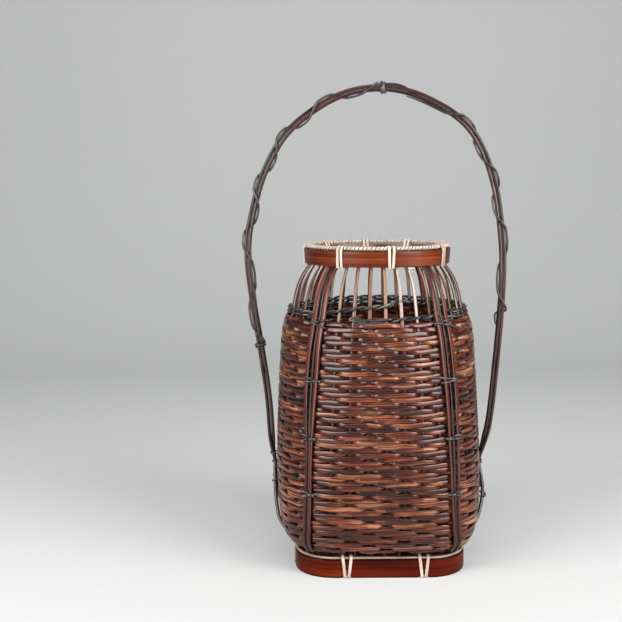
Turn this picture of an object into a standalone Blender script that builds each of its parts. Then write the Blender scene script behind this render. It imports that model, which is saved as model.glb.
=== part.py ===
"""Ikebana basket: a woven body on a square foot, an open neck, a bound rim, a vine-wound handle.

Lengths are metres and angles degrees. The foot band stands on z = 0, +Z is up and the front
faces -Y. An azimuth is counted from the front towards +X.
"""
import math

import bmesh
import bpy
from mathutils import Matrix, Vector

# Gap between pieces that touch, and how far a tie is sunk into the piece that it is one with
CLEARANCE = 0.0003
TIE_GRIP = 0.0004

# Points of a mesh closer than this are welded
WELD_DISTANCE = 0.00003

# Foot band and its edging cane
FOOT_WIDTH = 0.139
FOOT_CORNER_RADIUS = 0.032
FOOT_HEIGHT = 0.018
FOOT_THICKNESS = 0.003
FOOT_CORNER_STEPS = 7
EDGE_CANE_RADIUS = 0.0012
FOOT_TIE_WIDTH = 0.0024
FOOT_TIE_THICKNESS = 0.0008
FOOT_TIE_SPACING = 0.0046
FOOT_TIE_LEAN = 4.5
FOOT_NOTCH_HEIGHT = 0.0018
FOOT_NOTCH_WIDTH = 0.0080

# Floor of the basket
FLOOR_BOTTOM = 0.010
FLOOR_THICKNESS = 0.003
FLOOR_OUTLINE_POINTS = 36

# Woven body, half widths measured to the outside of the weave
BELLY_REACH = 0.0854
BELLY_HEIGHT = 0.090
SHOULDER_REACH = 0.0770
SHOULDER_HEIGHT = 0.2045
WEAVE_BOTTOM = 0.0248
WEAVE_THICKNESS = 0.003
WEAVE_SEGMENTS = 72
FOOT_SQUARENESS = 4.1
RIM_SQUARENESS = 2.0
SQUARENESS_POWER = 3

# Open neck, from the shoulder to the rim band
NECK_HEIGHT = 0.0439

# Stakes
STAKE_COUNT = 36
STAKE_PHASE = 2.0
STAKE_WIDTH = 0.0030
STAKE_RIM_WIDTH = 0.0024
STAKE_THICKNESS = 0.0016

# Corner struts, each a thin lath between two broad ones
CORNERS = {"front_left": -41.0, "front_right": 39.5, "rear_right": 140.0, "rear_left": 220.0}
LATH_WIDTH = 0.0040
LATH_RIM_WIDTH = 0.0032
LATH_SPREAD = 0.0046
LATH_RIM_SPREAD = 0.0036
LATH_THICKNESS = 0.0018
MIDDLE_LATH_WIDTH = 0.0020
MIDDLE_LATH_THICKNESS = 0.0008
LATH_BOTTOM = 0.0265
CORNER_TIE_RADIUS = 0.0008
CORNER_TIE_SLANT = 0.0022
CORNER_TIE_COUNT = 4

# Vine twined round the stakes in two rows, which lie at shares of the neck's height
TWINE_RADIUS = 0.0010
TWINE_RISE = 0.0016
LOWER_TWINE_SHARE = 0.1025
UPPER_TWINE_SHARE = 0.255

# Rim
RIM_REACH = 0.0612
RIM_LEAN = 0.0008
RIM_BAND_WIDTH = 0.0126
RIM_BAND_THICKNESS = 0.0018
RIM_SEGMENTS = 44
RIM_CORE_RADIUS = 0.0007
RIM_BINDING_RADIUS = 0.00035
RIM_BINDING_TURNS = 20
RIM_BINDING_GAP = 0.003
RIM_TIE_WIDTH = 0.0022
RIM_TIE_THICKNESS = 0.0007
RIM_TIE_SPACING = 0.0026
RIM_TIE_AZIMUTHS = (-83.0, -32.5, 7.2, 57.0, 107.0, 148.0, 187.0, 228.0)

# Handle
HANDLE_TOP = 0.3947
HANDLE_REACH = 0.1080
HANDLE_CANE_RADIUS = 0.0014
HANDLE_SEAT = 0.079
HANDLE_TWIST_TOP = 0.112
HANDLE_LEG_BOTTOM = 0.0275
HANDLE_LEG_SPREAD = 0.030
HANDLE_SPAN_STEPS = 2
HANDLE_VINE_RADIUS = 0.0009
HANDLE_LEFT_VINE_TURNS = 5
HANDLE_RIGHT_VINE_TURNS = 4
HANDLE_VINE_END = 0.178
HANDLE_KNOT_TURNS = 2
HANDLE_KNOT_PITCH = 0.0028
HANDLE_KNOT_GAP = 0.0035
HANDLE_TIE_RADIUS = 0.0008
HANDLE_TIE_HEIGHT = 0.0785
CURL_POINTS = 8

# Bamboo water tube
TUBE_RADIUS = 0.031
TUBE_HEIGHT = 0.180
TUBE_WALL = 0.003
TUBE_FLOOR = 0.007
TUBE_RIM_ROUND = 0.0006
TUBE_STEPS = 30

# Overrun of a cutter past what it cuts
CUT_OVERRUN = 0.002

# The stakes' middle line. Shares of height and of reach run from the foot to the belly,
# from the belly to the shoulder, and from the shoulder to the rim band.
FOOT_TO_BELLY_SHARES = ((0, 0), (0.027, 0.16), (0.059, 0.35), (0.108, 0.55), (0.192, 0.72),
                        (0.307, 0.83), (0.466, 0.91), (0.74, 0.98), (1, 1))
BELLY_TO_SHOULDER_SHARES = ((0.175, 0.04), (0.393, 0.143), (0.699, 0.37), (0.856, 0.524), (0.961, 0.78), (1, 1))
SHOULDER_TO_RIM_SHARES = ((0.1025, 0.08), (0.255, 0.164), (0.572, 0.364), (0.809, 0.66), (0.945, 0.93), (1, 1))

# Heights of the sections that the lofts pass through, as shares from belly to shoulder
# and from shoulder to rim band
WALL_LOW_SHARES = (0.142, 0.51)
WALL_HIGH_SHARES = (0.4, 0.856)
NECK_SHARES = (0.3, 0.572, 0.809)

# Handle's centre line, left end first: shares of the reach beyond the seat, and of the
# height from the seat to the top
HANDLE_LEFT_SHARES = ((0.12, 0.056), (0.25, 0.18), (0.54, 0.32), (0.82, 0.44), (1.0, 0.574))
HANDLE_ARCH_SHARES = ((-0.957, 0.678), (-0.853, 0.792), (-0.658, 0.896), (-0.298, 0.979), (0.06, 1.0),
                      (0.395, 0.969), (0.71, 0.893), (0.892, 0.762))
HANDLE_RIGHT_SHARES = ((0.84, 0.594), (0.86, 0.463), (0.70, 0.30), (0.46, 0.13), (0.28, 0.065))
KNOT_PLACE_SHARE = 0.505

# How much of the spread of the handle's legs grows with the square of the way down
LEG_BEND_SHARE = 0.35


def clear_scene():
    for item in list(bpy.data.objects):
        bpy.data.objects.remove(item, do_unlink=True)


def new_collection(name):
    collection = bpy.data.collections.new(name)
    bpy.context.scene.collection.children.link(collection)
    return collection


def new_material(name, colour, roughness, metallic=0.0):
    material = bpy.data.materials.new(name)
    material.use_nodes = True
    shader = material.node_tree.nodes["Principled BSDF"]
    shader.inputs["Base Color"].default_value = (*colour, 1.0)
    shader.inputs["Roughness"].default_value = roughness
    shader.inputs["Metallic"].default_value = metallic
    material.diffuse_color = (*colour, 1.0)
    return material


def add_object(name, data, material):
    item = bpy.data.objects.new(name, data)
    item.data.materials.append(material)
    PARTS.objects.link(item)
    return item


def add_mesh(name, mesh_builder, material, smooth_angle=40.0):
    bmesh.ops.recalc_face_normals(mesh_builder, faces=mesh_builder.faces)
    mesh = bpy.data.meshes.new(name)
    mesh_builder.to_mesh(mesh)
    mesh_builder.free()
    mesh.shade_smooth()
    mesh.set_sharp_from_angle(angle=math.radians(smooth_angle))
    return add_object(name, mesh, material)


def loft(mesh_builder, sections, closed=False):
    """Join sections of equal count into one closed body."""
    rings = [[mesh_builder.verts.new(point) for point in section] for section in sections]
    pairs = list(zip(rings, rings[1:]))
    if closed:
        pairs.append((rings[-1], rings[0]))
    for first, second in pairs:
        for index in range(len(first)):
            following = (index + 1) % len(first)
            mesh_builder.faces.new((first[index], first[following], second[following], second[index]))
    if not closed:
        mesh_builder.faces.new(rings[0])
        mesh_builder.faces.new(rings[-1])


def curve_data(name, dimensions, lines, cyclic):
    curve = bpy.data.curves.new(name, "CURVE")
    curve.dimensions = dimensions
    for points in lines:
        spline = curve.splines.new("POLY")
        spline.points.add(len(points) - 1)
        for target, point in zip(spline.points, points):
            target.co = (*point, 1.0)
        spline.use_cyclic_u = cyclic
    return curve


def tube_curve(name, line, radius, sides_level, cyclic):
    curve = curve_data(name, "3D", [line], cyclic)
    curve.bevel_depth = radius
    curve.bevel_resolution = sides_level
    curve.use_fill_caps = not cyclic
    return curve


def add_tube(name, line, radius, material, sides_level=1, cyclic=False):
    return add_object(name, tube_curve(name, line, radius, sides_level, cyclic), material)


def flat_plate(name, outlines, thickness):
    """A flat outline, with any holes, given a thickness about its own plane."""
    lines = [[(*point, 0.0) for point in outline] for outline in outlines]
    curve = curve_data(name, "2D", lines, True)
    curve.fill_mode = "BOTH"
    curve.extrude = thickness / 2
    return curve


def curve_as_mesh(curve, matrix):
    """Turn a curve into a welded mesh with its place in the mesh."""
    holder = bpy.data.objects.new(curve.name, curve)
    PARTS.objects.link(holder)
    bpy.context.view_layer.update()
    evaluated = holder.evaluated_get(bpy.context.evaluated_depsgraph_get())
    mesh_builder = bmesh.new()
    mesh_builder.from_mesh(bpy.data.meshes.new_from_object(evaluated))
    bmesh.ops.remove_doubles(mesh_builder, verts=mesh_builder.verts, dist=WELD_DISTANCE)
    mesh_builder.transform(matrix)
    bpy.data.objects.remove(holder, do_unlink=True)
    return mesh_builder


def tube_body(line, radius):
    return curve_as_mesh(tube_curve("tube", line, radius, 0, False), Matrix())


def fused(bodies):
    """Join bodies that run into the first, or into each other, as one."""
    holders = []
    for body in bodies:
        bmesh.ops.recalc_face_normals(body, faces=body.faces)
        mesh = bpy.data.meshes.new("body")
        body.to_mesh(mesh)
        body.free()
        holders.append(bpy.data.objects.new("body", mesh))
        PARTS.objects.link(holders[-1])
    for other in holders[1:]:
        union = holders[0].modifiers.new("join", "BOOLEAN")
        union.operation = "UNION"
        union.object = other
    bpy.context.view_layer.update()
    evaluated = holders[0].evaluated_get(bpy.context.evaluated_depsgraph_get())
    mesh_builder = bmesh.new()
    mesh_builder.from_mesh(bpy.data.meshes.new_from_object(evaluated))
    for holder in holders:
        bpy.data.objects.remove(holder, do_unlink=True)
    return mesh_builder


def least_gap(points, radius, curl_points):
    """Least clear distance of a wound tube to itself, between points half a curl or more apart."""
    apart = curl_points // 2
    distances = []
    for index, point in enumerate(points):
        for other in points[index + apart:]:
            distances.append((point - other).length)
    return min(distances) - 2 * radius


def mix(start, end, share):
    return start + (end - start) * share


def ease(share):
    share = min(max(share, 0.0), 1.0)
    return share * share * (3 - 2 * share)


def outward(azimuth):
    angle = math.radians(azimuth)
    return Vector((math.sin(angle), -math.cos(angle), 0.0))


# Offsets of the layers of the body, along its surface's normal from the stakes' middle line
STAKE_FACE = STAKE_THICKNESS / 2
WEAVE_INSIDE = STAKE_FACE + CLEARANCE
WEAVE_OUTSIDE = WEAVE_INSIDE + WEAVE_THICKNESS
LATH_ON_WEAVE = WEAVE_OUTSIDE + CLEARANCE
MIDDLE_LATH_OUTSIDE = STAKE_FACE + CLEARANCE + MIDDLE_LATH_THICKNESS
RIM_BAND_INSIDE = MIDDLE_LATH_OUTSIDE + CLEARANCE
RIM_BAND_OUTSIDE = RIM_BAND_INSIDE + RIM_BAND_THICKNESS
INNER_BAND_OUTSIDE = -STAKE_FACE - CLEARANCE
INNER_BAND_INSIDE = INNER_BAND_OUTSIDE - RIM_BAND_THICKNESS

# Heights and reaches that follow from the sizes above
EDGE_CANE_TOP = FOOT_HEIGHT + CLEARANCE + 2 * EDGE_CANE_RADIUS
RIM_BAND_BOTTOM = SHOULDER_HEIGHT + NECK_HEIGHT
RIM_BAND_TOP = RIM_BAND_BOTTOM + RIM_BAND_WIDTH
LOWER_TWINE_HEIGHT = mix(SHOULDER_HEIGHT, RIM_BAND_BOTTOM, LOWER_TWINE_SHARE)
UPPER_TWINE_HEIGHT = mix(SHOULDER_HEIGHT, RIM_BAND_BOTTOM, UPPER_TWINE_SHARE)
FOOT_LINE_REACH = FOOT_WIDTH / 2 - FOOT_THICKNESS - CLEARANCE - STAKE_FACE
BELLY_LINE_REACH = BELLY_REACH - WEAVE_OUTSIDE
SHOULDER_LINE_REACH = SHOULDER_REACH - WEAVE_OUTSIDE
RIM_LINE_REACH = RIM_REACH - RIM_BAND_OUTSIDE
FLOOR_TOP = FLOOR_BOTTOM + FLOOR_THICKNESS


def zone_points(shares, low, high, low_reach, high_reach):
    return [(mix(low, high, height), mix(low_reach, high_reach, reach)) for height, reach in shares]


def middle_line_points():
    points = [(0.0, FOOT_LINE_REACH)]
    points += zone_points(FOOT_TO_BELLY_SHARES, EDGE_CANE_TOP, BELLY_HEIGHT, FOOT_LINE_REACH, BELLY_LINE_REACH)
    points += zone_points(BELLY_TO_SHOULDER_SHARES, BELLY_HEIGHT, SHOULDER_HEIGHT, BELLY_LINE_REACH,
                          SHOULDER_LINE_REACH)
    points += zone_points(SHOULDER_TO_RIM_SHARES, SHOULDER_HEIGHT, RIM_BAND_BOTTOM, SHOULDER_LINE_REACH,
                          RIM_LINE_REACH - RIM_LEAN)
    points.append((RIM_BAND_TOP, RIM_LINE_REACH))
    return points


def monotone_slopes(points):
    """Slopes of a smooth line through the points that never swings past them."""
    secants = [(b[1] - a[1]) / (b[0] - a[0]) for a, b in zip(points, points[1:])]
    slopes = [secants[0]]
    for below, above in zip(secants, secants[1:]):
        turns = below * above <= 0
        slopes.append(0.0 if turns else 2 * below * above / (below + above))
    slopes.append(secants[-1])
    return slopes


LINE_POINTS = middle_line_points()
LINE_SLOPES = monotone_slopes(LINE_POINTS)


def middle_line(height):
    """Half width of the stakes' middle line at a height, and how fast it changes there."""
    last = len(LINE_POINTS) - 2
    index = 0
    while index < last and height > LINE_POINTS[index + 1][0]:
        index += 1
    (low, start), (high, end) = LINE_POINTS[index], LINE_POINTS[index + 1]
    span = high - low
    t = (height - low) / span
    first, second = LINE_SLOPES[index] * span, LINE_SLOPES[index + 1] * span
    rise = end - start
    reach = start + first * t + (3 * rise - 2 * first - second) * t ** 2 + (first + second - 2 * rise) * t ** 3
    slope = first + 2 * (3 * rise - 2 * first - second) * t + 3 * (first + second - 2 * rise) * t ** 2
    return reach, slope / span


def squareness(height):
    share = (height - EDGE_CANE_TOP) / (RIM_BAND_BOTTOM - EDGE_CANE_TOP)
    share = min(max(share, 0.0), 1.0)
    return mix(RIM_SQUARENESS, FOOT_SQUARENESS, (1 - share) ** SQUARENESS_POWER)


def section_direction(azimuth, exponent):
    """Outward vector of length 1 at the middle of a side, and longer at a squared corner."""
    way = outward(azimuth)
    return way / (abs(way.x) ** exponent + abs(way.y) ** exponent) ** (1 / exponent)


def body_point(azimuth, height, offset):
    """A point of the body, offset along the surface's normal from the stakes' middle line."""
    reach, slope = middle_line(height)
    shorten = 1 / math.sqrt(1 + slope * slope)
    point = section_direction(azimuth, squareness(height)) * (reach + offset * shorten)
    point.z = height - offset * slope * shorten
    return point


def arc_angle(length, azimuth, height):
    """Angle that a length along the body takes up."""
    return math.degrees(length / body_point(azimuth, height, 0.0).to_2d().length)


def ring_shell(heights, inside, outside, segments):
    """A closed ring wall that follows the body between two offsets."""
    sections = []
    for index in range(segments):
        azimuth = STAKE_PHASE + index * 360 / segments
        section = [body_point(azimuth, height, outside) for height in heights]
        section += [body_point(azimuth, height, inside) for height in reversed(heights)]
        sections.append(section)
    mesh_builder = bmesh.new()
    loft(mesh_builder, sections, closed=True)
    return mesh_builder


def lath_body(azimuth, heights, half_widths, arc_offsets, inner_offsets, thickness):
    """A flat strip up the body. Its width, place and depth change with the height."""
    sections = []
    for height, half, arc, inner in zip(heights, half_widths, arc_offsets, inner_offsets):
        low = azimuth + arc_angle(arc - half, azimuth, height)
        high = azimuth + arc_angle(arc + half, azimuth, height)
        sections.append([body_point(low, height, inner), body_point(high, height, inner),
                         body_point(high, height, inner + thickness), body_point(low, height, inner + thickness)])
    mesh_builder = bmesh.new()
    loft(mesh_builder, sections)
    return mesh_builder


def rounded_square(width, radius, steps):
    half = width / 2 - radius
    points = []
    for quarter in range(4):
        for step in range(steps):
            angle = math.radians(90 * quarter + 90 * step / (steps - 1))
            side_x = 1 if quarter in (0, 3) else -1
            side_y = 1 if quarter in (0, 1) else -1
            points.append((side_x * half + radius * math.cos(angle), side_y * half + radius * math.sin(angle)))
    return points


def stake_azimuths():
    """Even steps, except that each corner strut has a stake right behind it."""
    pitch = 360 / STAKE_COUNT
    azimuths = []
    for index in range(STAKE_COUNT):
        azimuth = STAKE_PHASE + index * pitch
        for corner in CORNERS.values():
            away = (azimuth - corner + 180) % 360 - 180
            if abs(away) < pitch / 2:
                azimuth -= away
        azimuths.append(azimuth)
    return azimuths


def low_wall_heights():
    return [WEAVE_BOTTOM, *[mix(WEAVE_BOTTOM, BELLY_HEIGHT, share) for share in WALL_LOW_SHARES]]


def high_wall_heights():
    return [*[mix(BELLY_HEIGHT, SHOULDER_HEIGHT, share) for share in WALL_HIGH_SHARES], SHOULDER_HEIGHT]


def wall_heights():
    return [*low_wall_heights(), BELLY_HEIGHT, *high_wall_heights()]


def neck_heights():
    return [mix(SHOULDER_HEIGHT, RIM_BAND_BOTTOM, share) for share in NECK_SHARES]


def rim_share(height):
    """How far a height lies from the upper twine to the rim band, eased."""
    return ease((height - UPPER_TWINE_HEIGHT) / (RIM_BAND_BOTTOM - UPPER_TWINE_HEIGHT))


# Foot


def foot_tie_places():
    """Middles of the pairs of ties along one side, each midway between two stakes."""
    pitch = 360 / STAKE_COUNT
    places = []
    for index in (-3, 2):
        near = math.radians(STAKE_PHASE + index * pitch)
        far = math.radians(STAKE_PHASE + (index + 1) * pitch)
        places.append(FOOT_LINE_REACH * (math.tan(near) + math.tan(far)) / 2)
    return places


def make_foot_band(material):
    outer = rounded_square(FOOT_WIDTH, FOOT_CORNER_RADIUS, FOOT_CORNER_STEPS)
    inner = rounded_square(FOOT_WIDTH - 2 * FOOT_THICKNESS, FOOT_CORNER_RADIUS - FOOT_THICKNESS, FOOT_CORNER_STEPS)
    curve = flat_plate("foot_band_outline", (outer, inner), FOOT_HEIGHT)
    band = add_mesh("foot_band", curve_as_mesh(curve, Matrix.Translation((0, 0, FOOT_HEIGHT / 2))), material)
    notches = bmesh.new()
    for side in range(4):
        turn = Matrix.Rotation(math.radians(90 * side), 4, "Z")
        for place in foot_tie_places():
            size = Vector((FOOT_NOTCH_WIDTH, FOOT_THICKNESS + 2 * CUT_OVERRUN, FOOT_NOTCH_HEIGHT + CUT_OVERRUN))
            centre = Vector((place, -FOOT_WIDTH / 2 + FOOT_THICKNESS / 2, (FOOT_NOTCH_HEIGHT - CUT_OVERRUN) / 2))
            matrix = turn @ Matrix.Translation(centre) @ Matrix.Diagonal((*size, 1.0))
            bmesh.ops.create_cube(notches, size=1.0, matrix=matrix)
    mesh = bpy.data.meshes.new("foot_notches")
    notches.to_mesh(mesh)
    notches.free()
    cutter = bpy.data.objects.new("foot_notches", mesh)
    cutter.hide_render = True
    cutter.display_type = "WIRE"
    CUTTERS.objects.link(cutter)
    cut = band.modifiers.new("notches", "BOOLEAN")
    cut.operation = "DIFFERENCE"
    cut.object = cutter
    return band


def make_foot_edge_cane(material):
    """The cane along the band's top, in one with the ties that hold it down."""
    path = rounded_square(FOOT_WIDTH - FOOT_THICKNESS, FOOT_CORNER_RADIUS - FOOT_THICKNESS / 2, FOOT_CORNER_STEPS)
    height = FOOT_HEIGHT + CLEARANCE + EDGE_CANE_RADIUS
    line = [(x, y, height) for x, y in path]
    cane = curve_as_mesh(tube_curve("edge_cane", line, EDGE_CANE_RADIUS, 1, True), Matrix())
    return add_mesh("foot_edge_cane", fused([cane, *foot_ties()]), material)


def strap_frame(hole, outside, width, azimuth, along, lean, pivot_height):
    """A flat strip bent into a closed frame in an upright plane that holds the basket's axis."""
    way = outward(azimuth)
    up = Matrix.Rotation(math.radians(lean), 3, way) @ Vector((0, 0, 1))
    across = way.cross(up)
    matrix = Matrix((way, up, across)).transposed().to_4x4()
    matrix.translation = outward(azimuth + 90) * along + Vector((0, 0, pivot_height))
    lowered = [[(reach, height - pivot_height) for reach, height in outline] for outline in (outside, hole)]
    return curve_as_mesh(flat_plate("strap", lowered, width), matrix)


def grown(outline, amount):
    """The outline of a strip's outside, each corner moved away from the middle on both axes."""
    middle_x = sum(point[0] for point in outline) / len(outline)
    middle_y = sum(point[1] for point in outline) / len(outline)
    return [(x + math.copysign(amount, x - middle_x), y + math.copysign(amount, y - middle_y)) for x, y in outline]


def foot_ties():
    """Closed strips round the band and its edging cane, sunk a little into the cane."""
    inside = FOOT_WIDTH / 2 - FOOT_THICKNESS - CLEARANCE
    outside = FOOT_WIDTH / 2 + CLEARANCE
    bottom = FOOT_NOTCH_HEIGHT - CLEARANCE
    top = EDGE_CANE_TOP - TIE_GRIP
    hole = [(inside, bottom), (outside, bottom), (outside, top), (inside, top)]
    outline = grown(hole, FOOT_TIE_THICKNESS)
    bodies = []
    for side in range(4):
        for place in foot_tie_places():
            for hand in (-1, 1):
                along = place + hand * FOOT_TIE_SPACING / 2
                bodies.append(strap_frame(hole, outline, FOOT_TIE_WIDTH, 90 * side, along, -hand * FOOT_TIE_LEAN,
                                          FOOT_HEIGHT / 2))
    return bodies


def make_floor(material):
    reach = FOOT_LINE_REACH - STAKE_FACE - CLEARANCE
    outline = []
    for index in range(FLOOR_OUTLINE_POINTS):
        point = section_direction(index * 360 / FLOOR_OUTLINE_POINTS, FOOT_SQUARENESS) * reach
        outline.append((point.x, point.y))
    curve = flat_plate("floor_outline", [outline], FLOOR_THICKNESS)
    place = Matrix.Translation((0, 0, FLOOR_BOTTOM + FLOOR_THICKNESS / 2))
    return add_mesh("base_floor", curve_as_mesh(curve, place), material)


# Body


def make_woven_wall(material):
    """The rows of weave below the belly and those above it."""
    low = [*low_wall_heights(), BELLY_HEIGHT - CLEARANCE]
    high = [BELLY_HEIGHT, *high_wall_heights()]
    for name, heights in (("woven_wall_low", low), ("woven_wall", high)):
        add_mesh(name, ring_shell(heights, WEAVE_INSIDE, WEAVE_OUTSIDE, WEAVE_SEGMENTS), material)


def make_stakes(material):
    low = [mix(WEAVE_BOTTOM, BELLY_HEIGHT, WALL_LOW_SHARES[0]), BELLY_HEIGHT]
    heights = [FLOOR_BOTTOM, EDGE_CANE_TOP, WEAVE_BOTTOM, *low]
    heights += [mix(BELLY_HEIGHT, SHOULDER_HEIGHT, share) for share in WALL_HIGH_SHARES]
    heights += [LOWER_TWINE_HEIGHT, *neck_heights()[1:], RIM_BAND_BOTTOM, RIM_BAND_TOP]
    half_widths = [mix(STAKE_WIDTH, STAKE_RIM_WIDTH, rim_share(height)) / 2 for height in heights]
    still = [0.0] * len(heights)
    inner = [-STAKE_FACE] * len(heights)
    azimuths = stake_azimuths()
    per_side = STAKE_COUNT // 4
    for side, name in enumerate(("front", "right", "rear", "left")):
        for step in range(per_side):
            azimuth = azimuths[side * per_side + step - per_side // 2]
            body = lath_body(azimuth, heights, half_widths, still, inner, STAKE_THICKNESS)
            add_mesh(f"{name}_stake_{step + 1}", body, material)


def corner_laths(azimuth):
    heights = [LATH_BOTTOM, *wall_heights()[1:], *neck_heights(), RIM_BAND_BOTTOM, RIM_BAND_TOP]
    rims = [rim_share(height) for height in heights]
    rim_offset = MIDDLE_LATH_OUTSIDE - LATH_THICKNESS
    inner = [mix(LATH_ON_WEAVE, rim_offset, rim) for rim in rims]
    middle_inner = [mix(LATH_ON_WEAVE, STAKE_FACE + CLEARANCE, rim) for rim in rims]
    half_widths = [mix(LATH_WIDTH, LATH_RIM_WIDTH, rim) / 2 for rim in rims]
    middle_halves = [MIDDLE_LATH_WIDTH / 2] * len(heights)
    spreads = [mix(LATH_SPREAD, LATH_RIM_SPREAD, rim) for rim in rims]
    bodies = [lath_body(azimuth, heights, middle_halves, [0.0] * len(heights), middle_inner, MIDDLE_LATH_THICKNESS)]
    for hand in (-1, 1):
        arcs = [hand * spread for spread in spreads]
        bodies.append(lath_body(azimuth, heights, half_widths, arcs, inner, LATH_THICKNESS))
    return bodies


def strap_over(azimuth, height, places, slant):
    """Path of a tie over what it holds: places are lengths along the body and offsets from it."""
    reach = max(arc for arc, offset in places)
    line = []
    for arc, offset in places:
        level = height + slant * arc / reach
        line.append(body_point(azimuth + arc_angle(arc, azimuth, level), level, offset))
    return line


def mirrored_places(places):
    """The places of one half of a strap, from its middle out, with the other half put before them."""
    return [(-arc, offset) for arc, offset in reversed(places) if arc > 0] + list(places)


def corner_tie_heights():
    """Four ties, the top one just under the shoulder and the rest evenly below it."""
    top = SHOULDER_HEIGHT - 2 * CORNER_TIE_SLANT
    step = (top - EDGE_CANE_TOP) / CORNER_TIE_COUNT
    return [top - index * step for index in range(CORNER_TIE_COUNT)]


def corner_ties(azimuth):
    """Ties sunk a little into the laths that they hold."""
    over = LATH_ON_WEAVE + LATH_THICKNESS + CORNER_TIE_RADIUS - TIE_GRIP
    valley = LATH_ON_WEAVE + MIDDLE_LATH_THICKNESS + CORNER_TIE_RADIUS - TIE_GRIP
    side = LATH_SPREAD + LATH_WIDTH / 2 + CORNER_TIE_RADIUS - TIE_GRIP
    foot = WEAVE_OUTSIDE + CLEARANCE
    places = mirrored_places(((0, valley), (LATH_SPREAD - LATH_WIDTH / 2, over), (side, over), (side, foot)))
    bodies = []
    for height in corner_tie_heights():
        bodies.append(tube_body(strap_over(azimuth, height, places, CORNER_TIE_SLANT), CORNER_TIE_RADIUS))
    return bodies


def make_corner_struts(material):
    """Three laths up each corner, in one with the ties that hold them together."""
    for corner, azimuth in CORNERS.items():
        add_mesh(f"{corner}_strut", fused([*corner_laths(azimuth), *corner_ties(azimuth)]), material)


def make_twine(row, height, material):
    """Two strands that turn round each other, with one stake between each half turn and the next."""
    azimuths = stake_azimuths()
    half_gap = math.pi * middle_line(height)[0] / STAKE_COUNT
    offset = (STAKE_FACE + CLEARANCE + TWINE_RADIUS) / (1 - STAKE_WIDTH / 2 / half_gap)
    for start, strand in enumerate(("first", "second")):
        line = []
        for index, azimuth in enumerate(azimuths):
            following = azimuths[(index + 1) % STAKE_COUNT] + (360 if index + 1 == STAKE_COUNT else 0)
            side = 1 if (index + start) % 2 == 0 else -1
            line.append(body_point(azimuth, height, side * offset))
            line.append(body_point((azimuth + following) / 2, height + side * TWINE_RISE, 0.0))
        add_tube(f"{row}_twine_{strand}_strand", line, TWINE_RADIUS, material, sides_level=0, cyclic=True)


# Rim


def make_rim_bands(outer_material, inner_material):
    """Two bands with the stakes between them. The ties over the rim are in one with the inner band."""
    heights = [RIM_BAND_BOTTOM, RIM_BAND_TOP]
    outer = ring_shell(heights, RIM_BAND_INSIDE, RIM_BAND_OUTSIDE, RIM_SEGMENTS)
    inner = ring_shell(heights, INNER_BAND_INSIDE, INNER_BAND_OUTSIDE, RIM_SEGMENTS)
    add_mesh("rim_outer_band", outer, outer_material)
    add_mesh("rim_inner_band", fused([inner, *rim_ties()]), inner_material)


def curl_radius(inner_radius, strand_radius):
    """Radius of a wound strand's middle whose flats, between its points, clear what it winds round."""
    return (inner_radius + CLEARANCE + strand_radius) / math.cos(math.pi / CURL_POINTS)


BINDING_CURL = curl_radius(RIM_CORE_RADIUS, RIM_BINDING_RADIUS)
BINDING_MIDDLE_HEIGHT = RIM_BAND_TOP + CLEARANCE + RIM_BINDING_RADIUS + BINDING_CURL
BINDING_TOP = BINDING_MIDDLE_HEIGHT + BINDING_CURL + RIM_BINDING_RADIUS
BINDING_REACH = RIM_LINE_REACH + STAKE_FACE


def make_rim_core(material):
    line = []
    for index in range(RIM_SEGMENTS):
        point = outward(index * 360 / RIM_SEGMENTS) * BINDING_REACH
        point.z = BINDING_MIDDLE_HEIGHT
        line.append(point)
    return add_tube("rim_core", line, RIM_CORE_RADIUS, material, sides_level=0, cyclic=True)


def make_rim_binding(material):
    count = RIM_BINDING_TURNS * CURL_POINTS
    sweep = 360 - math.degrees(RIM_BINDING_GAP / BINDING_REACH)
    line = []
    for index in range(count + 1):
        azimuth = sweep * index / count
        angle = 2 * math.pi * index / CURL_POINTS
        point = outward(azimuth) * (BINDING_REACH + BINDING_CURL * math.cos(angle))
        point.z = BINDING_MIDDLE_HEIGHT + BINDING_CURL * math.sin(angle)
        line.append(point)
    gap = least_gap(line, RIM_BINDING_RADIUS, CURL_POINTS)
    print(f"rim_binding: least gap to itself {gap * 1000:.2f} mm")
    return add_tube("rim_binding", line, RIM_BINDING_RADIUS, material)


def rim_ties():
    """Pairs of closed strips round both bands and the binding, sunk a little into the inner band."""
    outer_top = RIM_REACH + CLEARANCE
    inner_top = RIM_LINE_REACH + INNER_BAND_INSIDE + TIE_GRIP
    over = BINDING_TOP + CLEARANCE
    shoulder = RIM_BAND_TOP + CLEARANCE
    bottom = RIM_BAND_BOTTOM - CLEARANCE
    half_over = BINDING_CURL + RIM_BINDING_RADIUS
    hole = [(inner_top - RIM_LEAN, bottom), (outer_top - RIM_LEAN, bottom), (outer_top, shoulder),
            (BINDING_REACH + half_over, over), (BINDING_REACH - half_over, over), (inner_top, shoulder)]
    outline = grown(hole, RIM_TIE_THICKNESS)
    bodies = []
    for azimuth in RIM_TIE_AZIMUTHS:
        for hand in (-1, 1):
            along = hand * RIM_TIE_SPACING / 2
            bodies.append(strap_frame(hole, outline, RIM_TIE_WIDTH, azimuth, along, 0.0, RIM_BAND_BOTTOM))
    return bodies


# Handle


HANDLE_PAIR_OFFSET = HANDLE_CANE_RADIUS + CLEARANCE / 2
HANDLE_LINE_TOP = HANDLE_TOP - HANDLE_PAIR_OFFSET - HANDLE_CANE_RADIUS
LEG_OFFSET = WEAVE_OUTSIDE + CLEARANCE + HANDLE_CANE_RADIUS


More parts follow.
